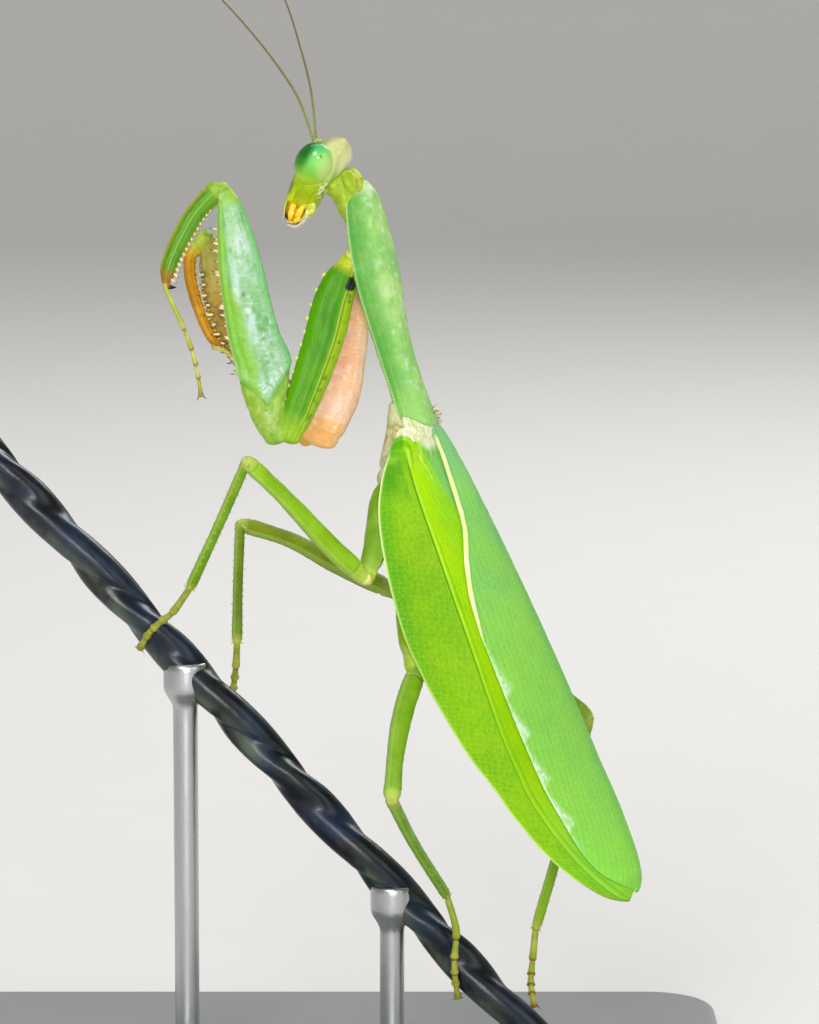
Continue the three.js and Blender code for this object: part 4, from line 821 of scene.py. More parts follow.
for side, nm, key in ((1, "left", "antL"), (-1, "right", "antR")):
    P = Path(J[key])
    # stem and collar at the base
    b0 = head(side * .78, 1.62, 2.5)
    stem = loft([b0, (b0 + P.at(.012)) / 2 + HFWD * .05, P.at(.012), P.at(.03)], HLEFT, [[0, .36, .36], [.28, .34, .34], [.5, .36, .36], [.62, .27, .27], [.72, .24, .24], [.85, .25, .25], [1, .17, .17]], n=54, m=22, k=5,
                disp=lambda T, TH, P_, N: -.06 * bell(T - .6, .03) - .04 * bell(T - .82, .025) - .05 * bell(T - .1, .03))
    paint(stem, lambda p: mixc(lin("#86B42C"), lin("#A8C060"), sstep(.1, .9, p["T"] + .3 * fbm(p["v"] * 3, 3, 3))), (.38, 1, .6))
    nseg = 78

    def flag(T, TH, P_, N):
        ph = (T * nseg) % 1.0
        return .016 * (ph - .5) * sstep(1., .2, T) - .018 * bell(np.minimum(ph, 1 - ph), .12)

    whip = loft(P, HFWD, [[0, .15, .15], [.05, .135, .135], [.3, .115, .115], [.7, .085, .085], [1, .05, .05]], n=nseg * 7, m=12, t0=.018, t1=.998, disp=flag, k=3)

    def whip_col(p):
        ph = (p["T"] * nseg) % 1.0
        c = mixc(lin("#8C9A3C"), C["feeler"], sstep(.03, .3, p["T"]))
        c = mixc(c, lin("#5A4420"), sstep(.3, 1., p["T"]) * .7)
        return mixc(c, lin("#2E2410"), bell(np.minimum(ph, 1 - ph), .16) * .6)

    paint(whip, whip_col, (.42, 1, 1))
    r = np.random.default_rng(90 + side)
    tt = r.uniform(.03, .99, 420)
    T_ = P.tan(tt)
    dd = r.normal(size=(420, 3))
    dd = unit(dd - T_ * (dd * T_).sum(-1, keepdims=True)) + T_ * .9
    hair = spikes(P.at(tt), dd, r.uniform(.14, .2, 420) * (1.1 - .4 * tt), .01, lin("#6A5A2C"), lin("#6A5A2C"), sides=3, rings=2, root=0)
    put(f"feeler_{nm}", [stem, whip, hair], M["feeler"], [f"antenna_{nm}"])

# ------------------------------------------------------------------ neck
neck_path = [head(0, -.1, 1.0), head(0, -1.1, .75), V(2.85, .62, 93.75), V(3.45, .5, 92.2), V(4.0, .3, 90.6), V(4.35, .05, 89.2)]


def neck_disp(T, TH, P, N):
    fold = np.sin(TH * 5 + 1.4 * fbm(P * .5, 50, 2) + T * 2) * .06
    return fold * sstep(.12, .3, T) + .03 * fbm(P * 1.2, 51, 4)


def neck_col(p):
    n, n2 = fbm(p["v"] * .8, 52, 3), fbm(p["v"] * 3.2, 53, 3)
    c = mixc(lin("#9CC41E"), C["neck"], sstep(-.3, .5, n))
    g = p["v"] @ SIDE - (ROOT @ SIDE)
    c = mixc(c, lin("#CFE070"), sstep(.1, .5, n2) * .45)
    c = mixc(c, lin("#86AE10"), sstep(.15, .6, -n2) * .4)
    c = mixc(c, lin("#E4EEA0"), bell(np.sin(p["TH"] * 5 + 1.4 * fbm(p["v"] * .5, 50, 2) + p["T"] * 2) - 1, .3) * .3)
    return c * np.array([.83, .78, .38])


nk = paint(loft(neck_path, DORSAL, [[0, 1.0, 1.0], [.18, 1.4, 1.5], [.38, 1.6, 1.82], [.55, 1.6, 1.72], [.75, 1.5, 1.35], [1, 1.1, .9]], n=120, m=150, disp=neck_disp), neck_col, (.36, 1, 1))
# the hard plates of the throat and the nape
extra = []
for k in (1, -1):
    b = V(2.72, .62, 94.35) + DORSAL * .75 + LEFT * k * .42
    extra.append(paint(blob(b, [TAIL, LEFT, DORSAL], (1.5, 1.0, .95), 60, 44, lambda d: .02 * fbm(d * 2, 63, 3)), lambda p: neck_col(dict(v=p["v"], TH=p["v"][:, 0] * .6, T=p["v"][:, 2] * .05)), (.34, 1, .9)))
put("neck_skin", [nk] + extra, M["membrane"], ["neck"])

# ------------------------------------------------------------------ shield of the prothorax and the plate beneath it
prothKeys = [[.012, 1.1, .85], [.055, 1.85, 1.4], [.14, 2.4, 1.75], [.25, 2.7, 1.94], [.38, 2.8, 2.0], [.52, 2.5, 1.86], [.66, 2.15, 1.66], [.82, 2.05, 1.6], [.93, 2.2, 1.56], [.99, 2.22, 1.4]]
PROTH = Path(J["proth"])
CH = -.20


def shield_sect(T, TH, a, b):
    # upper arch, a thin flange at its rim and a slightly hollow underside
    bb = np.where(b < CH, CH + .02 * (b - CH), b)
    rim = bell(b - CH, .09)
    return a * (1 + .055 * rim), bb


def shield_disp(T, TH, P, N):
    s = np.sin(TH)
    x = np.cos(TH)
    up = sstep(CH, .15, s)
    d = .018 * bell(x, .06) * sstep(.30, .42, T) * sstep(.99, .9, T) * (s > 0)          # keel of the hind part
    d -= .014 * (bell(x - .13, .06) + bell(x + .13, .06)) * sstep(.34, .45, T) * (s > 0)
    d -= .02 * bell(x, .07) * sstep(.30, .2, T) * sstep(.03, .1, T) * (s > 0)            # furrow of the fore part
    d -= .035 * bell(T - .31 - .03 * np.abs(x), .018) * up                                 # cross groove over the coxae
    d += .02 * bell(T - .345 - .03 * np.abs(x), .03) * up
    d -= .04 * bell(T - .955, .012) * up
    d += .02 * bell(T - .975, .012) * up
    d -= .03 * bell(np.abs(x) - .93, .03) * up * sstep(.03, .1, T)                       # gutter inside the rim
    n = fbm(P * .7, 70, 3)
    d += (.05 * n + .025 * fbm(P * 3., 71, 3)) * up
    f1, _ = cells(T * 42, TH * 5.2, 9)
    d -= .028 * bell(f1, .22) * up * sstep(.05, .2, T)
    return d


def shield_col(p):
    P, T, TH = p["v"], p["T"], p["TH"]
    x, s = np.cos(TH), np.sin(TH)
    n, n2, n3 = fbm(P * .45, 72, 4), fbm(P * 1.6, 73, 4), fbm(P * 5., 74, 3)
    c = mixc(C["shield"], C["shield2"], sstep(-.25, .45, n + .25 * n2))
    c = mixc(c, C["blue"], sstep(.1, .55, -n + .3 * n2) * .38)
    c = mixc(c, lin("#D2ECC0"), sstep(.1, .5, n2 + .3 * n3) * .55)
    c = mixc(c, lin("#6CC864"), sstep(.25, .7, -n2) * .4)
    # the animal's left flank runs greener toward its rim
    k = x * np.sign((np.cross(PROTH.tan(np.array([.5]))[0], DORSAL)) @ LEFT)
    c = mixc(c, lin("#5CA83C"), sstep(.42, .9, k) * .8)
    c = mixc(c, lin("#76BE78"), sstep(.6, .98, -k) * .45)
    c = mixc(c, lin("#A6DC78"), sstep(.72, .98, T) * .6)
    c = mixc(c, lin("#C4E4A0"), bell(s - CH, .08) * .6)
    c = mixc(c, lin("#4FB060"), bell(s - CH - .22, .10) * .45)
    c = mixc(c, lin("#E9F2DA"), bell(T - .03, .022) * .6 * (s > .2))
    c = mixc(c, lin("#8CCB84"), bell(T - .31 - .03 * np.abs(x), .014) * .25)
    # whitish blotches at the front and on the hind lobe are painted highlights
    c = mixc(c, lin("#DDEBDC"), sstep(.15, .55, n2 + .5 * n3) * bell(k + .1, .35) * (bell(T - .12, .12) + bell(T - .9, .05)) * .6)
    return c * np.array([.84, .84, .74])


ts = np.unique(np.r_[np.linspace(.012, .08, 26), np.linspace(.08, .9, 180), np.linspace(.9, .99, 30)])
shield = paint(loft(PROTH, DORSAL, prothKeys, m=210, ts=ts, sect=shield_sect, disp=shield_disp, cap=(.5, .25), k=8), shield_col, (.34, 1, .8))
# the hind edge is rounded, so its corners sit further forward
kx = np.cos(shield["TH"]) * np.sign((np.cross(PROTH.tan(np.array([.5]))[0], DORSAL)) @ LEFT)
back = sstep(.84, .985, shield["T"]) * np.abs(kx) ** 2.2 * np.where(kx > 0, 1.45, .35)
shield["v"] = shield["v"] - PROTH.tan(shield["T"]) * back[:, None] + PROTH.tan(shield["T"]) * (.35 * sstep(.9, .99, shield["T"]) * bell(kx + .45, .4))[:, None]
parts = [shield]
# fine teeth along both rims, strongest in front
tt = np.r_[np.linspace(.06, .34, 34), np.linspace(.36, .9, 44)]
K = smooth_keys(prothKeys, tt)
T_ = PROTH.tan(tt)
D_ = unit(DORSAL - (T_ @ DORSAL)[:, None] * T_)
A_ = np.cross(T_, D_)
for k in (1, -1):
    th0 = math.asin(CH + .05)
    B = PROTH.at(tt) + A_ * (K[:, 0] * math.cos(th0) * 1.03 * k)[:, None] + D_ * (K[:, 1] * math.sin(th0))[:, None]
    L_ = np.where(tt < .35, .17, .09)
    parts.append(spikes(B, A_ * k + T_ * .12, L_, np.where(tt < .35, .07, .05), lin("#CFE8A0"), lin("#E8F0C0"), sides=7, rings=4, power=.5))
put("prothorax_shield", parts, M["chitin"], ["pronotum"])


def plate_sect(T, TH, a, b):
    return a * .95, np.where(b > CH - .03, CH - .03, b)


def plate_disp(T, TH, P, N):
    s = np.sin(TH)
    dn = sstep(CH, -.5, s)
    d = dn * (.09 * np.sin(T * 30 + 2 * fbm(P * .5, 80, 2)) * bell(T - .22, .16) - .1 * bell(np.cos(TH), .07) * sstep(.45, .6, T) + .08 * fbm(P * .9, 81, 4))
    d -= dn * .14 * (bell(T - .36, .015) + bell(T - .12, .014))
    return d


def plate_col(p):
    n, n2 = fbm(p["v"] * .6, 82, 3), fbm(p["v"] * 2.4, 83, 3)
    c = mixc(lin("#8ACB62"), lin("#B9DC86"), sstep(-.3, .5, n))
    c = mixc(c, lin("#D8E6A4"), sstep(.1, .6, n2) * .5)
    c = mixc(c, lin("#B8CC40"), bell(p["T"] - .25, .14) * .5)
    return c


put("prothorax_underplate", [paint(loft(PROTH, DORSAL, prothKeys, n=124, m=110, t0=.012, t1=.99, sect=plate_sect, disp=plate_disp, cap=(.5, .3), k=6), plate_col, (.38, 1, 1))], M["membrane"], ["prosternum"])

# ------------------------------------------------------------------ wing-bearing thorax
thoraxKeys = [[-3.4, -1.65, 1.85, 1.35], [-2.1, -2.0, 2.3, 1.8], [-1, -2.55, 2.65, 2.05], [.8, -3.65, 3.15, 2.45], [3, -4.7, 3.5, 2.8], [7, -5.3, 3.6, 2.9], [12, -5.4, 3.6, 2.8], [15.6, -5.4, 3.6, 2.6]]
abdomenKeys = [[15.9, -5.5, 3.7, 2.6], [18, -5.7, 4.3, 2.9], [23, -5.95, 4.8, 3.15], [29, -6, 4.9, 3.2], [35, -5.6, 4.5, 2.95], [40, -4.9, 3.7, 2.45], [44, -4.2, 2.6, 1.75], [46.4, -3.75, 1.4, .95]]


def trunk(keys, s0, s1, **kw):
    ks = [[(k[0] - s0) / (s1 - s0), k[2], k[3], k[1]] for k in keys]
    return loft([body(s0, 0, 0), body(s1, 0, 0)], DORSAL, ks, **kw)


def thor_disp(T, TH, P, N):
    s = -3.4 + 19.5 * T
    si, co = np.sin(TH), np.abs(np.cos(TH))
    side = sstep(.2, .8, co)
    d = .16 * fbm(P * .55, 90, 4) + .05 * fbm(P * 2.2, 91, 3)
    for c, w, a in ((1.2, .35, .25), (4.1, .3, .2), (6.6, .45, .34), (9.6, .3, .2), (12.4, .4, .3), (14.6, .4, .25)):
        d -= a * bell(s - c + .9 * si, w) * (.35 + .65 * side)
    for c in (3.0, 8.4, 13.4):
        d += .22 * bell(s - c, .9) * side * bell(si + .3, .5)
    d -= .25 * bell(np.cos(TH), .08) * (si < 0)
    return d


def thor_col(p):
    P = p["v"]
    s = -3.4 + 19.5 * p["T"]
    n, n2 = fbm(P * .5, 92, 3), fbm(P * 1.8, 93, 4)
    c = mixc(lin("#DDE0B4"), lin("#B7D07E"), sstep(-.2, .5, n))
    c = mixc(c, lin("#EFEBDD"), sstep(.05, .5, n2) * .6)
    c = mixc(c, lin("#D9BFB2"), sstep(.25, .6, -n2) * .35)
    c = mixc(c, lin("#A8901C"), bell(s + 1.1, 1.2) * sstep(-.1, .3, n2) * .8)
    c = mixc(c, lin("#7E5A34"), bell(s - 2.0, .8) * sstep(-.1, .4, -n2) * .7)
    c = mixc(c, lin("#B07A4A"), bell(s - .9, .7) * sstep(.1, .45, -n2) * .6)
    c = mixc(c, lin("#96C04A"), sstep(9, 15, s) * .6)
    return c * np.array([.86, .84, .78])


parts = [paint(trunk(thoraxKeys, -3.4, 16.1, n=170, m=112, disp=thor_disp, cap=(.5, .6)), thor_col, (.4, 1, 1))]
rg = np.random.default_rng(11)
for k in (1, -1):
    # hinge sclerites and tucked membrane where each wing starts
    for s, u, v, r, col in ((.75, 2.9, -1.45, (.9, .4, .42), "#E6DFC2"), (1.7, 3.3, -1.8, (1., .35, .5), "#DCE0A8"), (-.35, 2.7, -1.95, (.8, .3, .5), "#C8AE68"), (-1.05, 2.25, -1.8, (.6, .3, .4), "#BFA65A")):
        parts.append(paint(blob(body(s, k * u, v), [TAIL, LEFT, DORSAL], r, 30, 20, lambda d: .16 * fbm(d * 1.8 + s * 7 + k, 95, 4)), lambda p, col=col: mixc(lin(col), lin("#F7F5EC"), sstep(.0, .6, fbm(p["v"] * 3.2, 96, 3)) * .7), (.36, 1, 1)))
    for i in range(4, 9):
        s0 = -1.3 + i * .45
        a, b = body(s0, k * (1.3 + .25 * i), -.55 - .12 * i), body(s0 + .9, k * (1.7 + .28 * i), -.75 - .13 * i)
        parts.append(paint(loft([a, (a + b) / 2 + DORSAL * .12, b], DORSAL, [[0, .07, .07], [.5, .14, .12], [1, .06, .06]], n=20, m=12), lin("#F2EEDD"), (.34, 1, 1)))


def collar_disp(T, TH, P, N):
    s, u, v = (P - ROOT) @ TAIL, (P - ROOT) @ LEFT, (P - ROOT) @ DORSAL
    q = np.stack([s * .8, u * 2.6, v * 2.6], -1)
    fold = 1 - 2.6 * np.abs(fbm(q, 300, 3))
    fine = 1 - 2.6 * np.abs(fbm(np.stack([s * 2.2, u * 5.5, v * 5.5], -1), 301, 3))
    return (.075 * fold + .02 * fine) * sstep(1., .7, T)


def collar_col(p):
    s, u = (p["v"] - ROOT) @ TAIL, (p["v"] - ROOT) @ LEFT
    q = np.stack([s * .8, u * 2.6, (p["v"] - ROOT) @ DORSAL * 2.6], -1)
    fold = 1 - 2.6 * np.abs(fbm(q, 300, 3))
    n = fbm(p["v"] * 1.1, 303, 3)
    c = mixc(lin("#C8D694"), lin("#E9E6CC"), sstep(-.2, .9, fold + n))
    c = mixc(c, lin("#DCD8E4"), sstep(-.4, -1.6, u) * .8)
    c = mixc(c, lin("#B8D46C"), sstep(.2, .6, n) * sstep(.6, -.4, fold) * .6)
    return mixc(c, lin("#C9A86A"), sstep(1.6, 2.6, u) * sstep(.1, .5, n) * .5)


parts.append(paint(loft([body(-3.6, 0, -.9), body(-1.2, 0, -.78), body(1.9, 0, -1.15)], DORSAL, [[0, 1.7, .7], [.4, 2.15, .88], [.62, 2.4, .86], [.85, 2.6, .6], [1, 2.6, .3]], n=170, m=220, disp=collar_disp, cap=(.5, .8)), collar_col, (.36, 1, .8)))
# a torn flap of skin that curls up at the right wing root
ga, gb = np.meshgrid(np.linspace(0, 1, 44), np.linspace(0, 1, 34), indexing="ij")
for s0, s1, u0, hgt, sd in ((-1.9, -.7, -1.95, 1.75, 0), (-.8, .0, -2.45, 1.0, 4)):
    edge = 1 - .35 * np.abs(vnoise(np.stack([ga * 4, ga * 0, ga * 0 + sd], -1), 305)) - .5 * sstep(.55, 1, ga)
    an = gb * 2.5 * edge
    G = body(s0 + (s1 - s0) * ga, np.full(ga.shape, u0), np.full(ga.shape, -.75)) + DORSAL * (hgt * np.sin(an) * (.7 + .3 * gb))[..., None] + LEFT * (.42 * (1 - np.cos(an)) * edge)[..., None]
    G = G + TAIL * (.16 * vnoise(np.stack([ga * 3, gb * 4, ga * 0], -1), 306 + sd))[..., None] + LEFT * (.10 * vnoise(np.stack([ga * 7, gb * 3, ga * 0], -1), 307 + sd))[..., None]
    Nn = unit(np.cross(np.gradient(G, axis=0), np.gradient(G, axis=1)))
    P_ = slab(G, Nn, np.full(ga.shape, .035), np.full(ga.shape, .035))
    nn = fbm(G * 2.4, 308, 3)
    cc = mixc(mixc(lin("#E6DCC8"), lin("#CDBBA8"), sstep(-.2, .5, nn)), lin("#A58E78"), np.maximum(sstep(.9, 1, gb), bell(nn, .06) * .4) * .7).reshape(-1, 3)
    P_["col"], P_["fx"] = np.vstack([cc, cc]), np.tile([.4, 1, .6], (2 * len(cc), 1))
    parts.append(P_)
put("wing_thorax", parts, M["membrane"], ["pterothorax"])

# ------------------------------------------------------------------ abdomen
joints_s = np.array([18.6, 22., 25.6, 29.2, 32.8, 36.2, 39.4, 42.2, 44.6])


def saw(s):
    i = np.clip(np.searchsorted(joints_s, s), 0, len(joints_s) - 1)
    lo = np.where(i == 0, 15.2, joints_s[np.maximum(i - 1, 0)])
    return np.clip((s - lo) / (joints_s[i] - lo), 0, 1.4)


def abd_disp(T, TH, P, N):
    s = 15.2 + 31.2 * T
    f = saw(s)
    si, co = np.sin(TH), np.abs(np.cos(TH))
    d = .20 * f ** 2 - .12 - .14 * bell(f, .10)
    d += .05 * fbm(P * .8, 100, 4) + .015 * np.sin(s * 26) * sstep(.2, .6, f)
    d -= .22 * bell(si + .32, .09) * co                              # fold between back and belly plates
    d += .10 * bell(si + .18, .07) * co
    return d


def abd_col(p):
    P = p["v"]
    s = 15.2 + 31.2 * p["T"]
    f = saw(s)
    n, n2 = fbm(P * .4, 101, 3), fbm(P * 2., 102, 4)
    c = mixc(lin("#8CC43E"), lin("#A9D25C"), sstep(-.3, .5, n))
    c = mixc(c, lin("#CFE08C"), sstep(.1, .6, n2) * .35)
    c = mixc(c, lin("#E3E8AE"), bell(f, .16) * .75)
    c = mixc(c, lin("#5C9A2A"), sstep(.75, 1., f) * .3)
    si = np.sin(p["TH"])
    return mixc(c, lin("#C4D88A"), bell(si + .32, .12) * .7)


parts = [paint(trunk(abdomenKeys, 15.2, 46.4, n=270, m=88, disp=abd_disp, cap=(.5, .7)), abd_col, (.38, 1, 1))]
# end plates and the short egg-laying blades
for k in (1, -1):
    for v0, L_, r_ in ((-4.3, 2.1, .42), (-4.0, 1.7, .34)):
        a = body(44.6, k * .4, v0)
        parts.append(paint(loft([a, body(45.6, k * .42, v0 + .1), body(44.6 + L_, k * .16, v0 + .6)], DORSAL, [[0, r_, r_ * 1.2], [.5, r_ * .9, r_], [1, r_ * .3, r_ * .35]], n=30, m=22), lambda p: mixc(lin("#9CC04A"), lin("#7A5A20"), sstep(.7, 1., p["T"])), (.35, 1, 1)))
parts.append(paint(loft([body(45.2, 0, -3.2), body(46.6, 0, -3.1), body(47.6, 0, -3.2)], DORSAL, [[0, 1.1, .35], [.6, .8, .26], [1, .35, .15]], n=30, m=30), lin("#9CCB50"), (.38, 1, 1)))
put("abdomen_rings", parts, M["chitin"], ["abdomen"])
for k, nm in ((1, "left"), (-1, "right")):
    pth = [body(44.4, k * 1.1, -3.9), body(45.8, k * 1.6, -3.75), body(47.0, k * 1.8, -3.45)]

    def bead(T, TH, P, N):
        ph = (T * 11) % 1
        return .05 * np.sin(np.pi * ph) - .03

    cer = paint(loft(pth, DORSAL, [[0, .36, .3], [.5, .34, .29], [.85, .25, .22], [1, .12, .1]], n=110, m=20, disp=bead), lambda p: mixc(lin("#9CC84C"), lin("#7A7A34"), sstep(.4, 1, p["T"])), (.4, 1, 1))
    pp = Path(pth)
    r = np.random.default_rng(40 + k)
    tt = r.uniform(.1, 1, 130)
    Tn = pp.tan(tt)
    dd = r.normal(size=(130, 3))
    dd = unit(dd - Tn * (dd * Tn).sum(-1, keepdims=True)) + Tn * .5
    put(f"tail_feeler_{nm}", [cer, spikes(pp.at(tt) + unit(dd) * .2, dd, r.uniform(.2, .45, 130), .012, lin("#9A8A50"), lin("#9A8A50"), sides=3, rings=2)], M["chitin"], [f"cercus_{nm}"])

# ------------------------------------------------------------------ wings
wingTable = [
    [-1.0, 2.45, -1.0, .3, -1.5], [-.3, 2.9, -1.05, .8, -1.0],
    [.5, 3.3, -1.1, 1.3, -.5], [3, 4.0, -1.2, 2.9, -.3], [6, 4.5, -1.25, 4.2, .1], [10, 4.9, -1.3, 5.1, .8], [14, 5.3, -1.35, 5.6, 2.7],
    [18, 5.65, -1.45, 5.8, 3.9], [22.5, 6.0, -1.6, 5.4, 4.3], [27, 6.35, -1.8, 4.6, 4.3], [32, 6.6, -2.0, 3.5, 4.3], [37, 6.5, -2.05, 2.3, 4.25],
    [41, 6.05, -1.65, 1.9, 4.1], [44.4, 5.25, -1.15, 1.6, 3.9], [47.0, 4.4, -.65, 1.2, 3.4], [48.9, 3.5, -.25, .8, 2.4], [50.1, 2.7, .02, .5, 1.2],
    [50.8, 1.95, .15, .25, .1], [51.15, 1.4, .22, .1, -.5], [51.3, .95, .24, .03, -.8]]
CROWN, FLARE = .9, math.radians(60)


def wing_grid(side, n=410, mi=92, mc=52):
    s = np.r_[np.linspace(-1.0, .5, 20)[:-1], np.linspace(.5, 48.5, n - 70)[:-1], 51.3 - 2.8 * np.linspace(1, 0, 52) ** 1.5]
    w = np.r_[np.linspace(0, 1, mi)[:-1], 1 + np.linspace(0, 1, mc)]
    u1, v1, c, uh = np.moveaxis(smooth_keys(wingTable, s), -1, 0)
    if side > 0:
        uh = uh + 1.5 * sstep(13, 6, s) * sstep(-1., 1.5, s)
    else:
        uh = np.where(s > 49.5, np.maximum(uh, -.1), uh)
    S = np.repeat(s[:, None], len(w), 1)
    W = np.repeat(w[None], len(s), 0)
    u1, v1, c, uh = [a[:, None] for a in (u1, v1, c, uh)]
    Wi, Wc = np.minimum(W, 1), np.maximum(W - 1, 0)
    ac = -uh + (u1 + uh) * Wi
    x = ac / u1
    lift = (.15 if side < 0 else -.15) * sstep(1, .5, x)
    u = ac + c * Wc * math.cos(FLARE)
    flat = 1 - .75 * sstep(49.2, 51.1, S)
    v = v1 + CROWN * flat * (1 - np.minimum(x, 1) ** 2) + lift - c * Wc * math.sin(FLARE)
    # a gentle hollow behind the fold and a slight roll of the outer margin
    v = v + .10 * bell(W - 1.45, .28) * np.minimum(1, c / 3)
    P = np.stack([u, v], -1)
    for _ in range(16):
        P[:, 1:-1] = .25 * P[:, :-2] + .5 * P[:, 1:-1] + .25 * P[:, 2:]
    X = body(S - (.42 * sstep(43.5, 51., S) if side < 0 else 0), side * P[..., 0], P[..., 1])
    gi, gj = np.gradient(X, axis=0), np.gradient(X, axis=1)
    Nn = unit(np.cross(gi, gj))
    if (Nn[len(s) // 2, mi // 2] @ DORSAL) < 0:
        Nn = -Nn
    extra = 1.5 * sstep(13, 6, S) * sstep(-1., 1.5, S) if side > 0 else 0 * S
    info = dict(am=(u1 + uh) * Wi - extra, s=S, w=W, a=(u1 + uh) * Wi, d=(u1 + uh) * (1 - Wi), c=c * Wc, cw=c + 0 * W, W=Wc)
    return X, Nn, info


def frac_dist(x, period):
    f = (x / period) % 1.0
    return np.minimum(f, 1 - f) * period


def vein_fields(side, g):
    s, a, d, c, cw, W = g["s"], g["a"], g["d"], g["c"], g["cw"], g["W"]
    seed = 3 if side > 0 else 8
    P2 = np.stack([s * .35, d * .6, d * 0], -1)
    wob = vnoise(P2, seed)
    inner = (W <= 0)
    lean, per = (2.25, 2.75) if side > 0 else (5.4, 4.9)
    cs = 1 / math.hypot(1, lean)
    q = s - lean * d - .06 * d * d + .35 * wob
    main = bell(frac_dist(q, per) * cs, .07)
    sub = bell(frac_dist(q + per / 2, per) * cs, .05)
    strip = np.floor(q / (per / 2))
    jit = _hash(strip.astype(np.int64), strip.astype(np.int64) * 0, strip.astype(np.int64) * 0 + 2, seed)
    cross = bell(frac_dist(s + jit * .8 + .25 * wob, .78), .05)
    f1, f2 = cells(s * 2.1 + 4 * side + 50, d * 2.1 + 50, seed)
    net = bell(f2 - f1, .12)
    lon = (.8 * bell(d - .42 - .006 * s, .06) + .6 * bell(d - .95 - .012 * s, .05)) * sstep(10, 18, s) + .4 * bell(d - 1.5 - .02 * s, .05) * sstep(16, 24, s)
    # fore strip: net that slants out and back, close ribs along the margin
    e1, e2 = cells((s + .55 * c) * 1.55 + 20, (c - .25 * s) * 1.55 + 90, seed + 1)
    cnet = bell(e2 - e1, .13)
    h1, h2 = cells((s + .3 * c) * 3.4 + 70, (c - .2 * s) * 3.4 + 90, seed + 2)
    cfine = bell(h2 - h1, .16)
    rib = bell(frac_dist(s + .55 * c + .12 * wob, .46), .07) * sstep(1.7, .4, cw - c)
    fields = dict(main=main * inner, sub=sub * inner, cross=cross * inner, net=net * inner, lon=lon * inner, cnet=cnet * ~inner, cfine=cfine * ~inner, rib=rib * ~inner, q=q)
    return fields


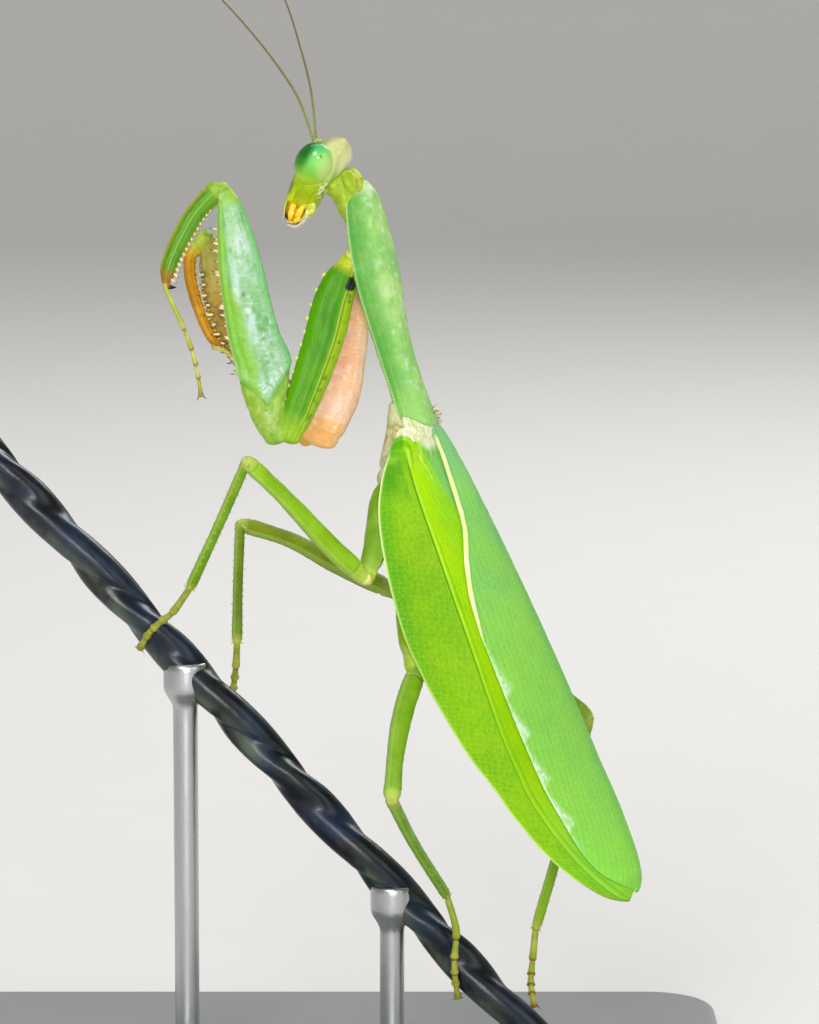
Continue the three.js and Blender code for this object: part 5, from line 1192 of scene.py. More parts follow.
def make_wing(side, nm):
    X, Nn, g = wing_grid(side)
    s, a, d, c, cw, W = g["s"], g["a"], g["d"], g["c"], g["cw"], g["W"]
    F = vein_fields(side, g)
    inner = W <= 0
    far = np.where(inner, d, c)
    fold_g = bell(np.where(inner, d, -c) - .12, .10)          # furrow just inside the fold
    fold_r = bell(np.where(inner, d, -c) + .10, .10)          # stout vein on it
    tip = sstep(51.2, 49.2, s)
    root = sstep(-.6, 1.5, s)
    relief = .026 * F["main"] + .012 * F["sub"] + .018 * F["cross"] + .018 * F["net"] + .026 * F["lon"] + .034 * F["cnet"] + .016 * F["cfine"] + .05 * F["rib"]
    relief = relief * tip * root * sstep(0, .35, a) * (1 - .35 * sstep(16, 28, s))
    relief = relief - .075 * fold_g * tip * (1 - .6 * sstep(16, 32, s)) + .055 * fold_r * tip * (1 - .6 * sstep(16, 32, s))
    relief = relief + .10 * bell(cw - c, .13) * (W > 0) * tip + .045 * bell(a, .16) * tip
    relief = relief + .035 * fbm(X * .35, 110, 3) + .012 * fbm(X * 1.6, 111, 3)
    edge = np.minimum(np.where(W > 0, cw - c, 9), np.where(inner, a, 9))
    thin = .35 + .65 * sstep(0, .3, edge)
    up, dn = .09 * thin + relief, .07 * thin - .45 * relief
    dn = np.maximum(dn, .03 - relief * .9)
    P_ = slab(X, Nn, up, dn)
    # -------------------------------------------------- colour fields
    n, n2, n3 = fbm(X * .22, 112, 3), fbm(X * 1.1, 113, 3), fbm(X * 4.5, 114, 3)
    if side > 0:
        field = mixc(lin("#A6DC02"), lin("#9AD406"), sstep(-.3, .4, n))
        field = mixc(field, lin("#86D22A"), sstep(1.0, 3.2, d) * sstep(16, 6, s) * .8)
        field = mixc(field, lin("#8EDA48"), sstep(34, 48, s) * .75)
        wm = np.interp(s, [0, 3, 6, 9, 12], [.7, 1.0, 1.15, .7, .2])
        field = mixc(field, lin("#7CC472"), sstep(wm + .45, wm - .35, g["am"]) * sstep(13, 8, s) * .8)
        cost = mixc(lin("#8CC400"), lin("#7EBC00"), sstep(-.3, .4, n))
        cost = mixc(cost, lin("#46A804"), sstep(2.4, .3, cw - c) * sstep(34, 16, s) * .8)
        cost = mixc(cost, lin("#76C428"), sstep(38, 49, s) * .8)
        cost = cost * (.90 - .14 * sstep(3, 12, s) + .06 * sstep(12, 26, s))[..., None]
        field = field * (.90 - .13 * sstep(14, 30, s))[..., None]
    else:
        field = mixc(lin("#8CD452"), lin("#80CC62"), sstep(-.3, .4, n + .15 * n2))
        field = mixc(field, lin("#96DE66"), sstep(.5, 3.0, d) * sstep(8, 22, s) * .45)
        field = mixc(field, lin("#72BE70"), sstep(2.0, .0, d) * .5)
        field = mixc(field, lin("#86C890"), sstep(10, 1, s) * .5)
        field = mixc(field, lin("#8CDC50"), sstep(36, 48, s) * .6)
        cost = mixc(lin("#74CE52"), lin("#62C05E"), sstep(-.3, .4, n))
        cost = mixc(cost, lin("#58C83A"), sstep(1.6, .2, cw - c) * .6)
        field = field * np.stack([.98 - .10 * sstep(4, 16, s), .97 - .11 * sstep(4, 16, s), 1.12 - .55 * sstep(6, 30, s)], -1)
        cost = cost * np.array([1.0, .93, .74])
    col = np.where(inner[..., None], field, cost)
    # net of cells: lighter lines, deeper green inside the cells
    vein = np.clip(.40 * F["main"] + .16 * F["sub"] + .26 * F["cross"] + .22 * F["net"] + .5 * F["cnet"] + .22 * F["cfine"] + .45 * F["rib"], 0, 1) * root
    if side > 0:
        grain = vnoise(np.stack([s * 2.2, (c - .25 * s) * 2.2, far], -1), 131)
        col = mixc(col, lin("#3E9A02"), sstep(-.05, .5, grain) * (W > 0) * (1 - vein) * root * .26)
        col = mixc(col, lin("#BCE83C"), vein * np.where(inner, .40 - .15 * sstep(12, 26, s), .32))
    else:
        col = mixc(col, lin("#4E9E44"), np.clip(F["main"] + .3 * F["sub"], 0, 1) * inner * root * (.3 + .3 * sstep(-.4, .4, n2)))
        col = mixc(col, lin("#A6DC80"), np.clip(.5 * F["cross"] + .4 * F["net"] + .5 * F["cnet"], 0, 1) * root * .4)
    col = mixc(col, lin("#4FB400") if side > 0 else lin("#5FBE5A"), sstep(.15, .6, n3) * .22)
    col = mixc(col, lin("#62B404") if side > 0 else lin("#58B060"), F["lon"] * .6 * (far > .2))
    # pale fine lines beside the fold, dark furrow on it
    col = mixc(col, lin("#2C7C08") if side > 0 else lin("#4FA85C"), fold_g * .95 * sstep(1, 3, s) * (1 - .35 * sstep(16, 40, s)))
    col = mixc(col, lin("#3E8A0C") if side > 0 else lin("#4FA85C"), bell(np.where(inner, d, -c) - .60 - .006 * s, .055) * sstep(6, 14, s) * .6)
    col = mixc(col, lin("#BFE850"), bell(np.where(inner, d, -c) - .33, .07) * sstep(3, 5, s) * (.5 - .3 * sstep(16, 28, s)))
    if side > 0:
        # deeper triangle at the root of the fore strip
        tri = sstep(1.2, 2.4, s) * sstep(6.2, 4.0, s + .5 * (c - .5 * cw)) * sstep(.3, .8, c) * sstep(.1, .4, cw - c) * (W > 0)
        col = mixc(col, lin("#3E8C06"), tri * (.55 + .35 * n2))
        fan = vnoise(np.stack([s * .5, (a - .4 * s) * 3.2, a * 0], -1), 118)
        col = mixc(col, lin("#4E9A0A"), sstep(.0, .6, fan) * sstep(4.2, 1.2, s) * .6)
        col = mixc(col, lin("#B8E060"), sstep(.1, .7, -fan) * sstep(4.2, 1.2, s) * .5)
        # a pale vein near the root, broken into dashes of painted glint
        dash = sstep(-.1, .5, vnoise(np.stack([s * 3, a * 0, a * 0], -1), 119))
        col = mixc(col, lin("#E4F4B8"), bell(F["q"] + 1.2, .13) * inner * sstep(.8, 1.6, d) * sstep(5.6, 4.6, s) * sstep(1.6, 2.4, s) * (.25 + .5 * dash))
    col = mixc(col, lin("#E6F2A6"), bell(cw - c, .17) * (W > 0) * (1 - .75 * sstep(9, 20, s)) * sstep(.5, 1.5, s))
    col = mixc(col, lin("#B8E860"), bell(cw - c, .12) * (W > 0) * sstep(9, 20, s) * .7)
    rough = np.full(s.shape, .40)
    if side < 0:
        wd = np.interp(s, [0, 1.2, 4, 10, 15, 18, 20, 22.3], [.2, .48, .56, .62, .62, .5, .32, .0]) * (1 + .10 * vnoise(np.stack([s * 1.1, a * 0, a * 0], -1), 116))
        st = sstep(wd + .07, wd - .07, a) * (s < 22.3) * inner * sstep(.7, 1.5, s)
        col = mixc(col, lin("#3E9A30"), bell(a - wd - .12, .10) * inner * (s < 22) * .45)
        col = mixc(col, mixc(lin("#EBF2A4"), lin("#F6F4C4"), sstep(-.1, .5, n2)), st * .96)
        col = mixc(col, lin("#C9D880"), st * bell(a, .07) * .6)
        # pale hatched patches in the corners between the inner edge and the slanting veins: painted highlights, also
        # made glossier
        wedge = ((s - 23.2) / 4.9) % 1.0
        glint_patch = sstep(1.75, .75, a + np.where(wedge < .80, (.80 - wedge) * 1.7, (wedge - .80) * 8)) * sstep(22.5, 24, s) * sstep(45.5, 42, s) * inner
        hatch = bell(frac_dist(s + 1.2 * a + .2 * vnoise(np.stack([s * 2, a * 2, a * 0], -1), 117), .34), .10)
        glint_patch = glint_patch * (.22 + .78 * hatch) * (.35 + .65 * sstep(-.3, .4, fbm(np.stack([s * 2.4, a * 4, a * 0], -1), 115, 3)))
        col = mixc(col, lin("#E2F4E6"), glint_patch)
        # a pale line along the inner edge is a painted highlight
        line = bell(a - .12, .09) * sstep(21, 24, s) * sstep(47, 38, s) * inner
        col = mixc(col, lin("#E4F2CC"), line * .6 * (.5 + .5 * sstep(-.4, .4, vnoise(np.stack([s * 2.2, a * 0, a * 0], -1), 121))))
        rough = rough - .12 * glint_patch
    else:
        col = mixc(col, lin("#D9EE9C"), bell(a, .18) * inner * .5)
    # root membranes and the brownish rim of the tip
    edge_s = -.35 + (2.2 * sstep(2.4, .3, g["am"]) if side > 0 else .3) - (.35 if side > 0 else -.7) * (W > 0)
    col = mixc(col, lin("#E2E4C4"), sstep(edge_s + .55, edge_s - .55, s + .35 * n2) * .9)
    col = mixc(col, lin("#A8C84A"), bell(s - 1.5, .8) * sstep(.0, .5, n2) * .4)
    rim = sstep(.24, .05, np.minimum(np.where(W > 0, cw - c, 9), (51.3 - s) * 1.1)) * sstep(46.5, 49, s)
    col = mixc(col, lin("#8A7A2A"), rim * .8)
    top = col.reshape(-1, 3)
    under = mixc(col, lin("#A9D87C"), .45 + 0 * s).reshape(-1, 3)
    P_["col"] = np.vstack([top, under])
    fx = np.stack([rough, np.ones_like(s), np.where(inner, .8, 1.)], -1).reshape(-1, 3)
    P_["fx"] = np.vstack([fx, fx])
    put(f"forewing_{nm}", [P_], M["wing"], [f"tegmen_{nm}"])


make_wing(1, "left")
make_wing(-1, "right")

# folded hind wings: a pleated fan between the fore wings and the abdomen
fanKeys = [[1.0, 1.6], [3, 2.4], [8, 3.2], [16, 3.9], [26, 4.3], [34, 4.2], [41, 3.3], [46, 2.0], [48.2, .9]]
s = np.linspace(1.0, 48.2, 180)
half = smooth_keys(fanKeys, s)[:, 0]
u1, v1 = smooth_keys(wingTable, s)[:, 0], smooth_keys(wingTable, s)[:, 1]
x = np.linspace(-1, 1, 86)
S, Xx = np.meshgrid(s, x, indexing="ij")
U = Xx * half[:, None]
pl = np.arcsin(np.sin(Xx * np.pi * 8.5)) / 1.571
Vv = v1[:, None] + CROWN * (1 - (U / u1[:, None]) ** 2) - .62 + .10 * pl * sstep(0, .3, 1 - np.abs(Xx))
G = body(S, U, Vv)
Nn = unit(np.cross(np.gradient(G, axis=0), np.gradient(G, axis=1)))
if Nn[90, 43] @ DORSAL < 0:
    Nn = -Nn
vn = bell(np.abs(pl) - 1, .18)
cr = bell(frac_dist(S + 1.3 * np.floor(Xx * 8.5 + .5), 1.1), .07)
P_ = slab(G, Nn, .05 + .03 * vn + .015 * cr, np.full(S.shape, .04))
n = fbm(G * .4, 120, 3)
col = mixc(lin("#D7E0B8"), lin("#C4D69A"), sstep(-.3, .4, n))
col = mixc(col, lin("#8FB85A"), np.clip(.7 * vn + .4 * cr, 0, 1))
col = mixc(col, lin("#9CCB6A"), sstep(.7, 1., np.abs(Xx)) * .7)
P_["col"] = np.vstack([col.reshape(-1, 3)] * 2)
P_["fx"] = np.tile([.32, 1, .6], (len(P_["v"]), 1))
put("hindwing_fan", [P_], M["veil"], ["hindwings"])

# ------------------------------------------------------------------ grasping forelegs
def plane_up(a, b, c):
    x, y = unit(V(*b) - V(*a)), V(*c) - V(*a)
    return unit(y - x * (y @ x))


def on_limb(path, up, keys, t, along_d, lat):
    """Point on a limb at t, along_d of its half depth up and lat of its half width across, with its frame."""
    T = path.tan(t)
    D = unit(up - (T @ up)[:, None] * T)
    A = np.cross(T, D)
    K = smooth_keys([list(r) + [0] * (4 - len(r)) for r in keys], t)
    return path.at(t) + D * (along_d * K[:, 1] + K[:, 2])[:, None] + A * (lat * K[:, 0])[:, None], T, D, A


def dist_to(P, pts):
    return np.min(np.linalg.norm(P[:, None, :] - pts[None], axis=-1), axis=1)


def ball(c, r, col, seg=24, rows=16, ax=None, fx=(.35, 1, .8), disp=None):
    return paint(blob(c, ax or [V(1, 0, 0), V(0, 1, 0), V(0, 0, 1)], r if hasattr(r, "__len__") else (r, r, r), seg, rows, disp), col, fx)


def tarsus(path, up, r, seed, colf, claw=.75, marks=(0, .40, .58, .72, .84, 1.), swell=1.25, hairs=90):
    path = Path(path) if not isinstance(path, Path) else path
    mk = np.array(marks)

    def d(T, TH, P, N):
        i = np.clip(np.searchsorted(mk, T, side="right") - 1, 0, len(mk) - 2)
        f = np.clip((T - mk[i]) / (mk[i + 1] - mk[i]), 0, 1)
        under = np.clip(-np.sin(TH), 0, 1)
        out = r * (-.30 + .12 * f + (swell - 1) * f ** 3) - r * .30 * (bell(f, .07) + bell(f - 1, .05)) * (T > .02) * (T < .985)
        return out + under * r * .55 * bell(f - .9, .14) * (i > 0)

    keys = [[0, r * 1.1, r * 1.1], [.4, r, r], [.84, r * .95, r * .95], [1, r * .85, r * .85]]
    foot = paint(loft(path, up, keys, n=190, m=26, disp=d, cap=(.5, .5)), colf, (.38, 1, 1))
    end, T = path.at(np.array([1.]))[0], path.tan(np.array([1.]))[0]
    D = unit(up - T * (T @ up))
    A = np.cross(T, D)
    B = np.array([end - T * .06 + A * .12 * k for k in (1, -1)])
    dirs = np.array([unit(T * .75 + A * k * .75 + D * .25) for k in (1, -1)])
    out = [foot, spikes(B, dirs, claw, .09, lin("#7A6A2A"), lin("#1C1008"), sides=8, rings=8, bend=-D * claw * .55 + T * claw * .15, dark=(.3, .7), power=.6, root=.1)]
    rr = np.random.default_rng(seed)
    t = rr.uniform(.03, .98, hairs)
    Tn = path.tan(t)
    dd = rr.normal(size=(hairs, 3))
    dd = unit(dd - Tn * (dd * Tn).sum(-1, keepdims=True)) + Tn * .7
    out.append(spikes(path.at(t) + unit(dd) * r * .6, dd, rr.uniform(.18, .34, hairs), .016, lin("#C9C890"), lin("#8A7A40"), sides=3, rings=2))
    return out


def foot_col(seed, a="#8C9A32", b="#A4A848", ring="#8A5428", marks=(.40, .58, .72, .84)):
    def f(p):
        n, n2 = fbm(p["v"] * 1.2, seed, 3), fbm(p["v"] * 4, seed + 1, 3)
        c = mixc(lin(a), lin(b), sstep(-.3, .4, n))
        c = mixc(c, lin("#7E8A2A"), sstep(.15, .6, n2) * .4)
        for m_ in marks:
            c = mixc(c, lin(ring), bell(p["T"] - m_, .014) * .85)
        return mixc(c, lin("#8A6A30"), sstep(.9, 1., p["T"]) * .7)
    return f


coxaK = {k: [[0, 1.0, 1.15], [.14, 1.25, 1.75], [.34, 1.3, 2.0], [.55, 1.25, 1.92], [.75, 1.15, r1, o1], [.9, 1.05, r2, o2], [1, .95, r3, o3]] for k, r1, r2, r3, o1, o2, o3 in (("L", 1.72, 1.5, 1.25, 0, 0, 0), ("R", 2.15, 2.2, 1.9, .2, .4, .5))}
femurKs = {"L": [[0, .8, 1.2, 0], [.05, .95, 1.55, .05], [.14, 1.0, 2.0, 0], [.22, 1.05, 2.45, -.3], [.31, 1.1, 2.82, -.5], [.40, 1.12, 2.68, -.12], [.52, 1.1, 2.5, .05], [.66, 1.08, 2.33, .1], [.8, 1.0, 1.95, .05], [.9, .98, 1.5, 0], [.96, .92, 1.15, 0], [1, .6, .75, 0]],
           "R": [[0, .6, .7, .1], [.05, .7, .85, .1], [.14, .9, 1.2, .1], [.28, 1.0, 1.5, .55], [.40, 1.05, 2.1, 1.05], [.5, 1.05, 2.45, 1.25], [.62, 1.05, 2.85, 1.1], [.74, 1.05, 2.7, .85], [.87, 1.0, 2.0, .5], [.96, .95, 1.3, .1], [1, .6, .75, 0]]}
tibiaKs = {"L": [[0, .74, 1.0], [.08, .72, 1.05], [.18, .66, .98], [.4, .66, .98], [.7, .62, .88], [.92, .56, .72], [1, .4, .45]],
           "R": [[0, .7, .9, 0], [.08, .66, .82, .12], [.18, .6, .62, .3], [.4, .6, .58, .34], [.7, .55, .52, .3], [.92, .5, .45, .2], [1, .36, .34, .08]]}
tibiaK = [[0, .72, .95], [.08, .7, 1.0], [.18, .64, .92], [.4, .65, .92], [.7, .6, .82], [.92, .55, .68], [1, .4, .45]]

SPOT = V(3.05, -1.2, 84.6)
for key, nm, inward in (("L", "left", V(0, 1, 0)), ("R", "right", V(0, -1, 0))):
    Cx, Fm, Tb, Zs = [J[f"fore{key}_{q}"] for q in ("coxa", "femur", "tibia", "tarsus")]
    up = plane_up(Fm[0], Fm[-1], Tb[3])
    cp, fp, tp = Path(Cx), Path(Fm), Path(Tb)
    PL = cp if key == "L" else None
    lat_in = 1 if np.cross(fp.tan(np.array([.5]))[0], up) @ inward > 0 else -1
    # ---- coxa: three-sided, a row of blunt pale tubercles on the fore edge
    keys, femurK, tibiaK = coxaK[key], femurKs[key], tibiaKs[key]
    tt = np.linspace(.13, .9, 11)
    tb, T_, D_, A_ = on_limb(cp, up, keys, tt, .97, 0)
    mids = on_limb(cp, up, keys, np.linspace(.16, .88, 24), .98, 0)[0]

    def coxa_disp(T, TH, P, N):
        s, x = np.sin(TH), np.cos(TH)
        rg_ = 1. if cp is PL else .15
        d = rg_ * .16 * bell(s + .42, .075) * (.3 + .7 * sstep(.02, .15, T))     # ridge between the two rear faces
        d -= rg_ * (.10 * bell(s + .56, .06) + .09 * bell(s + .24, .1))
        d += .10 * bell(s - .97, .05)                                            # sharp fore edge
        d -= .14 * bell(s - .45, .32) * sstep(.02, .2, T)
        d -= .16 * bell(T - .045, .018) + .10 * bell(T - .955, .012)
        d += .05 * fbm(P * .9, 130, 3) + .018 * fbm(P * 4, 131, 3)
        d += .02 * np.sin(T * 70) * bell(s + .7, .25)
        return d

    def coxa_col(p, inward=inward, key=key):
        P, T, TH, Nm = p["v"], p["T"], p["TH"], p["N"]
        s = np.sin(TH)
        n, n2 = fbm(P * .5, 132, 3), fbm(P * 2, 133, 3)
        inn = sstep(-.1, .35, Nm @ inward)
        g = mixc(lin("#4E9A04"), lin("#3C8A02"), sstep(-.2, .5, n + .4 * (T - .5)))
        g = mixc(g, lin("#5CA60C"), bell(s - .75, .3) * .5)
        g = mixc(g, lin("#64A806"), sstep(.3, .7, T) * .5)
        rear = mixc(lin("#9CC030"), lin("#90BC50"), sstep(-.2, .5, n2))
        rear = mixc(rear, lin("#5A7A1C"), sstep(.2, .5, n2) * bell(s + .7, .2) * .8)
        g = mixc(g, rear, sstep(-.34, -.5, s))
        g = mixc(g, lin("#BED67C"), bell(s + .42, .045) * .7)
        g = mixc(g, lin("#5C8414"), bell(s + .55, .04) * .5)
        g = mixc(g, lin("#A4CC5C"), sstep(.84, .98, T) * .8)
        g = mixc(g, lin("#D6DF78"), sstep(.10, .03, T) * .8)
        o = mixc(lin("#FFD0B0"), lin("#FFC090"), sstep(-.3, .4, n))
        o = mixc(o, lin("#FFE4D4"), sstep(0, .5, n2) * .6)
        o = mixc(o, lin("#F0A45C"), sstep(.75, .98, np.abs(s)) * .7)
        o = mixc(o, lin("#F6B860"), sstep(.80, .97, T + .05 * n) * .85)
        # whitish patch near the lower end of the coxa is a painted highlight
        o = mixc(o, lin("#FFF0D8"), sstep(.1, .5, n2) * bell(T - .9, .06) * .6)
        o = mixc(o, lin("#C9B040"), sstep(.14, .03, T) * .7)
        o = mixc(o, lin("#D88A4A"), bell(((T * 44 + .5 * n2) % 1) - .5, .2) * bell(s + .2, .6) * .22)
        c = mixc(g, o, inn)
        # blue-black patch low on the inner side of the base
        spot = bell(np.hypot((T - .10) * 9, (s + .35) * 1.2), .55) * sstep(-.6, .2, Nm @ inward)
        if key == "L":
            spot = np.maximum(spot, sstep(1.05, .8, np.hypot((P - SPOT) @ V(1, 0, 0) / .62, (P - SPOT) @ V(0, .139, .99) / .8) + .25 * n2) * (s < -.3))
        # the far (R) coxa is lifted slightly brighter and bluer to offset the shade it gets from the near leg and
        # shield: painted light
        c = c * (np.array([.70, .78, .4]) if key == "L" else np.array([1., 1.04, 1.1])) if key == "R" else c * (np.array([.82, .83, .22]) * (1 - inn)[:, None] + inn[:, None])
        c = mixc(np.clip(c, 0, .96), lin("#0A1020"), spot * .97)
        return c

    parts = [paint(loft(cp, up, keys, n=150, m=100, disp=coxa_disp, k=8, cap=(.6, .8)), coxa_col, (.30, 1, .8))]
    for i, (b, D1, T1) in enumerate(zip(tb, D_, T_)):
        r = .26 if i % 3 else .31
        parts.append(ball(b + D1 * .07, (r, r, r * 1.2), lin("#C8DC6C"), 18, 12, ax=[A_[i], T1, D1]))
    sm, T2, D2, A2 = on_limb(cp, up, keys, np.linspace(.15, .92, 34), .97, 0)
    parts.append(spikes(sm, D2 + T2 * .2, .14, .07, lin("#CFE488"), lin("#E8EEB4"), sides=7, rings=4, power=.5))
    # socket membrane at the base
    parts.append(ball(cp.at(np.array([-.02]))[0], (1.0, 1.05, 1.1), lambda p: mixc(lin("#D3DB5E"), lin("#E6E6A0"), sstep(-.2, .5, fbm(p["v"] * 2, 134, 3))), disp=lambda d: .1 * fbm(d * 2.2, 135, 3)))
    put(f"foreleg_coxa_{nm}", parts, M["chitin"], [f"foreleg_{nm}_coxa"])

    # ---- femur with its trochanter: deep, flattened, spined on the side that faces the tibia
    t_in = np.linspace(.34, .86, 13)
    b_in, Ti, Di, Ai = on_limb(fp, up, femurK, t_in, .86, 0)
    b_in = b_in + Ai * (lat_in * .5 * smooth_keys([r[:3] for r in femurK], t_in)[:, :1])
    t_out = np.linspace(.42, .8, 4)
    b_out, To, Do, Ao = on_limb(fp, up, femurK, t_out, .86, 0)
    b_out = b_out - Ao * (lat_in * (.1 if key == "L" else .5) * smooth_keys([r[:3] for r in femurK], t_out)[:, :1])
    t_dis = np.array([.40, .47, .54, .6])
    b_dis, Td, Dd, Ad = on_limb(fp, up, femurK, t_dis, .84, 0)
    spine_pts = np.vstack([b_in, b_out, b_dis])

    def wrinkles(T, s):
        a_, c_ = T * 25., s * 2.3
        w_ = vnoise(np.stack([a_ * .7, c_ * .7, 0 * s], -1), 139)
        r1 = 1 - 2.8 * np.abs(vnoise(np.stack([a_ * 2.3 - c_ * .8 + 1.1 * w_, c_ * .55, 0 * s], -1), 138))
        r2 = 1 - 3.2 * np.abs(vnoise(np.stack([a_ * 4.1 - c_ * 1.2 + 1.1 * w_, c_ * 1.1, 0 * s], -1), 137))
        return np.clip(np.maximum(r1, .8 * r2), 0, 1)

    def femur_disp(T, TH, P, N):
        s, x = np.sin(TH), np.cos(TH)
        tro = T - .142 - .115 * np.abs(s) ** 1.1
        d = -.07 * bell(tro, .014) + .07 * bell(tro - .026, .018)
        ang = sstep(.2, .32, T) * sstep(1.0, .88, T)
        d += ang * (.10 * bell(s - .80, .06) - .08 * bell(s - .66, .08))         # keel beside the spine rows
        d += ang * .08 * bell(s + .93, .05)
        d -= ang * .06 * bell(s + .72, .09)
        # loose, crumpled glossy skin over the outer face
        cr = fbm(P * np.array([1.1, 1.1, .8]), 140, 4)
        rid = 1 - np.abs(fbm(P * 1.35 + 3, 141, 3)) * 3.2
        outer = sstep(.1, .6, np.abs(x)) * sstep(.0, .08, tro) * sstep(1., .85, T)
        d += outer * (.09 * cr + .03 * np.clip(rid, 0, 1) - .03) + .046 * outer * (wrinkles(T, s) - .4) * bell(T - .48, .28)
        # folds of the soft base below the shell
        d += .04 * sstep(.0, -.03, tro) * np.sin(9 * s + 55 * T + 4 * cr)
        d -= .12 * bell(T - .93, .012) * sstep(-.3, .4, s)
        d -= sstep(.3, .38, T) * sstep(.92, .84, T) * .13 * bell(s - 1.0, .05)   # trough for the tibia
        return d

    def femur_col(p, inward=inward, spine_pts=spine_pts, key=key):
        P, T, TH, Nm = p["v"], p["T"], p["TH"], p["N"]
        s = np.sin(TH)
        n, n2, n3 = fbm(P * .5, 142, 3), fbm(P * 1.7, 143, 3), fbm(P * 4.5, 144, 3)
        inn = sstep(.12, .5, Nm @ inward) if key == "L" else sstep(-.05, .4, Nm @ inward)
        tro = T - .142 - .115 * np.abs(s) ** 1.1
        g = mixc(lin("#94CE84"), lin("#84C468"), sstep(-.3, .4, n))
        cs_ = .05 + .25 * sstep(.62, .30, T)
        mid = bell(s + cs_, .62) * sstep(.0, .06, tro) * sstep(1., .88, T)
        wr = wrinkles(T, s)
        g = mixc(g, lin("#C2DCB6"), np.clip(.5 + n2, 0, 1) * mid * .85)
        # crinkled skin: darker green in the troughs between the wrinkle ridges is painted shade, and the whitish on the
        # ridges below is painted highlight
        g = mixc(g, lin("#62A85A"), (1 - wr) * mid * bell(T - .48, .3) * .38)
        lng = fbm(np.stack([T * 9., s * 3.2, 0 * s], -1), 145, 4)
        g = mixc(g, lin("#DCEEE6"), wr * sstep(-.2, .35, n2 + .25 * n) * mid * (.24 + .55 * bell(T - .42, .16)))
        # pale streaks in a band down the middle of the outer face are a painted highlight
        g = mixc(g, lin("#E2F2EA"), sstep(.02, .42, lng) * bell(s + .05, .42) * sstep(.0, .06, tro) * sstep(.97, .86, T) * .55)
        g = mixc(g, lin("#58A048"), sstep(.05, .45, -lng) * sstep(.0, .06, tro) * sstep(.97, .86, T) * .5)
        # whitish spots high and mid on the outer face are painted highlights
        g = mixc(g, lin("#EEF8F0"), (bell(np.hypot((T - .79) * 9, (s + .1) * 2.4 + .5 * n3), .5) + bell(np.hypot((T - .60) * 9, (s - .42) * 4 + .4 * n3), .5)) * (.35 + .65 * sstep(-.3, .3, n3)) * .65)
        # whitish line along the trochanter ridge is a painted glint
        g = mixc(g, lin("#F2FAF6"), bell(tro - .05, .03) * sstep(-.1, .3, n3 + .4 * s) * .7)
        g = mixc(g, lin("#6CB45C"), sstep(.2, .6, -n2) * .3)
        g = mixc(g, lin("#84C420"), sstep(.42 - .36 * sstep(.66, .5, T), .80 - .36 * sstep(.66, .5, T), s + .12 * lng + .10 * n2) * .85)
        g = mixc(g, lin("#62B85C"), sstep(-.65, -.95, s) * .7)
        g = mixc(g, lin("#8FC82A"), bell(s - .15, .2) * sstep(.7, .95, T) * .4)
        g = mixc(g, lin("#D4EE9C"), bell(s - .97, .05) * .6)
        g = mixc(g, mixc(lin("#8CB82C"), lin("#A6C850"), sstep(-.3, .4, n2)), sstep(.012, -.008, tro) * .95)
        # pale patch near the lower end of the shell is a painted highlight
        g = mixc(g, lin("#D8E8B4"), bell(np.hypot((T - .10) * 16, (s - .1) * 2), .4) * sstep(-.2, .3, n3) * .6)
        g = mixc(g, lin("#4E8A24"), bell(tro + .006, .006) * .6)
        g = mixc(g, lin("#A8CC34"), sstep(.92, .99, T) * .85)
        g = mixc(g, lin("#0E2A10"), bell(np.hypot((T - .585) * 20, (s - .1) * 3), .22) * .7 + bell(np.hypot((T - .30) * 16, (s + .1) * 2.4), .25) * .45 * sstep(0, .3, n3))
        o = mixc(lin("#D99A10"), lin("#C9800C"), sstep(-.3, .4, n))
        o = mixc(o, lin("#D9DC7E"), sstep(.72, .9, T + .1 * n) * .85)
        o = mixc(o, lin("#E8C860"), sstep(.1, .5, n2) * .4)
        o = mixc(o, lin("#B46A1A"), sstep(-.3, -.9, s) * .6)
        o = mixc(o, lin("#A9C048"), sstep(.2, .08, T) * .8)
        g = g * np.array([.84, .84, .98])
        if key == "R":
            g = mixc(g, lin("#EFB050"), sstep(.26, .12, T))
            o = mixc(mixc(o, lin("#8C8A20"), sstep(.1, .5, T + .3 * n2) * .6), lin("#EFB050"), sstep(.26, .12, T))
        c = mixc(g, o, inn)
        ds = dist_to(P, spine_pts)
        c = mixc(c, lin("#1A0E0A"), bell(ds, .42) * sstep(.25, .6, T) * np.clip(inn + .1, 0, 1) * .95)
        for tq in (.45, .56, .67):
            c = mixc(c, lin("#160C0A"), inn * bell(np.hypot((T - tq) * 14, (s - .45) * 2.2), .42) * .9)
        return c

    parts = [paint(loft(fp, up, femurK, n=340 if key == "L" else 220, m=150 if key == "L" else 110, t0=0. if key == "L" else .04, disp=femur_disp, k=8, cap=(.8, .8)), femur_col, (.22, 1, .9))]
    L_in = np.where(np.arange(len(t_in)) % 2, .62, 1.05)
    cb, ct = lin("#E8DCA0"), lin("#140A06")
    parts.append(spikes(b_in - Di * .1, Di + Ti * .3 + Ai * lat_in * .18, L_in, .17, cb, ct, sides=9, rings=8, bend=(Ti * .10), dark=(.5, .78), power=.8))
    parts.append(spikes(b_out - Do * .1, Do + To * .34 - Ao * lat_in * (0 if key == "L" else .2), 1.0 if key == "L" else 1.3, .19, cb, ct, sides=9, rings=8, bend=(To * .12), dark=(.55, .82), power=.8))
    parts.append(spikes(b_dis - Dd * .1, Dd + Td * .3, np.array([.8, 1.0, 1.5, .9]), .18, cb, ct, sides=9, rings=8, dark=(.4, .7), power=.8))
    sm, T2, D2, A2 = on_limb(fp, up, femurK, np.linspace(.36, .9, 30), .9, lat_in * .42)
    parts.append(spikes(sm - D2 * .05, D2 + T2 * .2, .26, .07, cb, lin("#6A4A20"), sides=7, rings=4, dark=(.7, .95)))
    if key == "L":
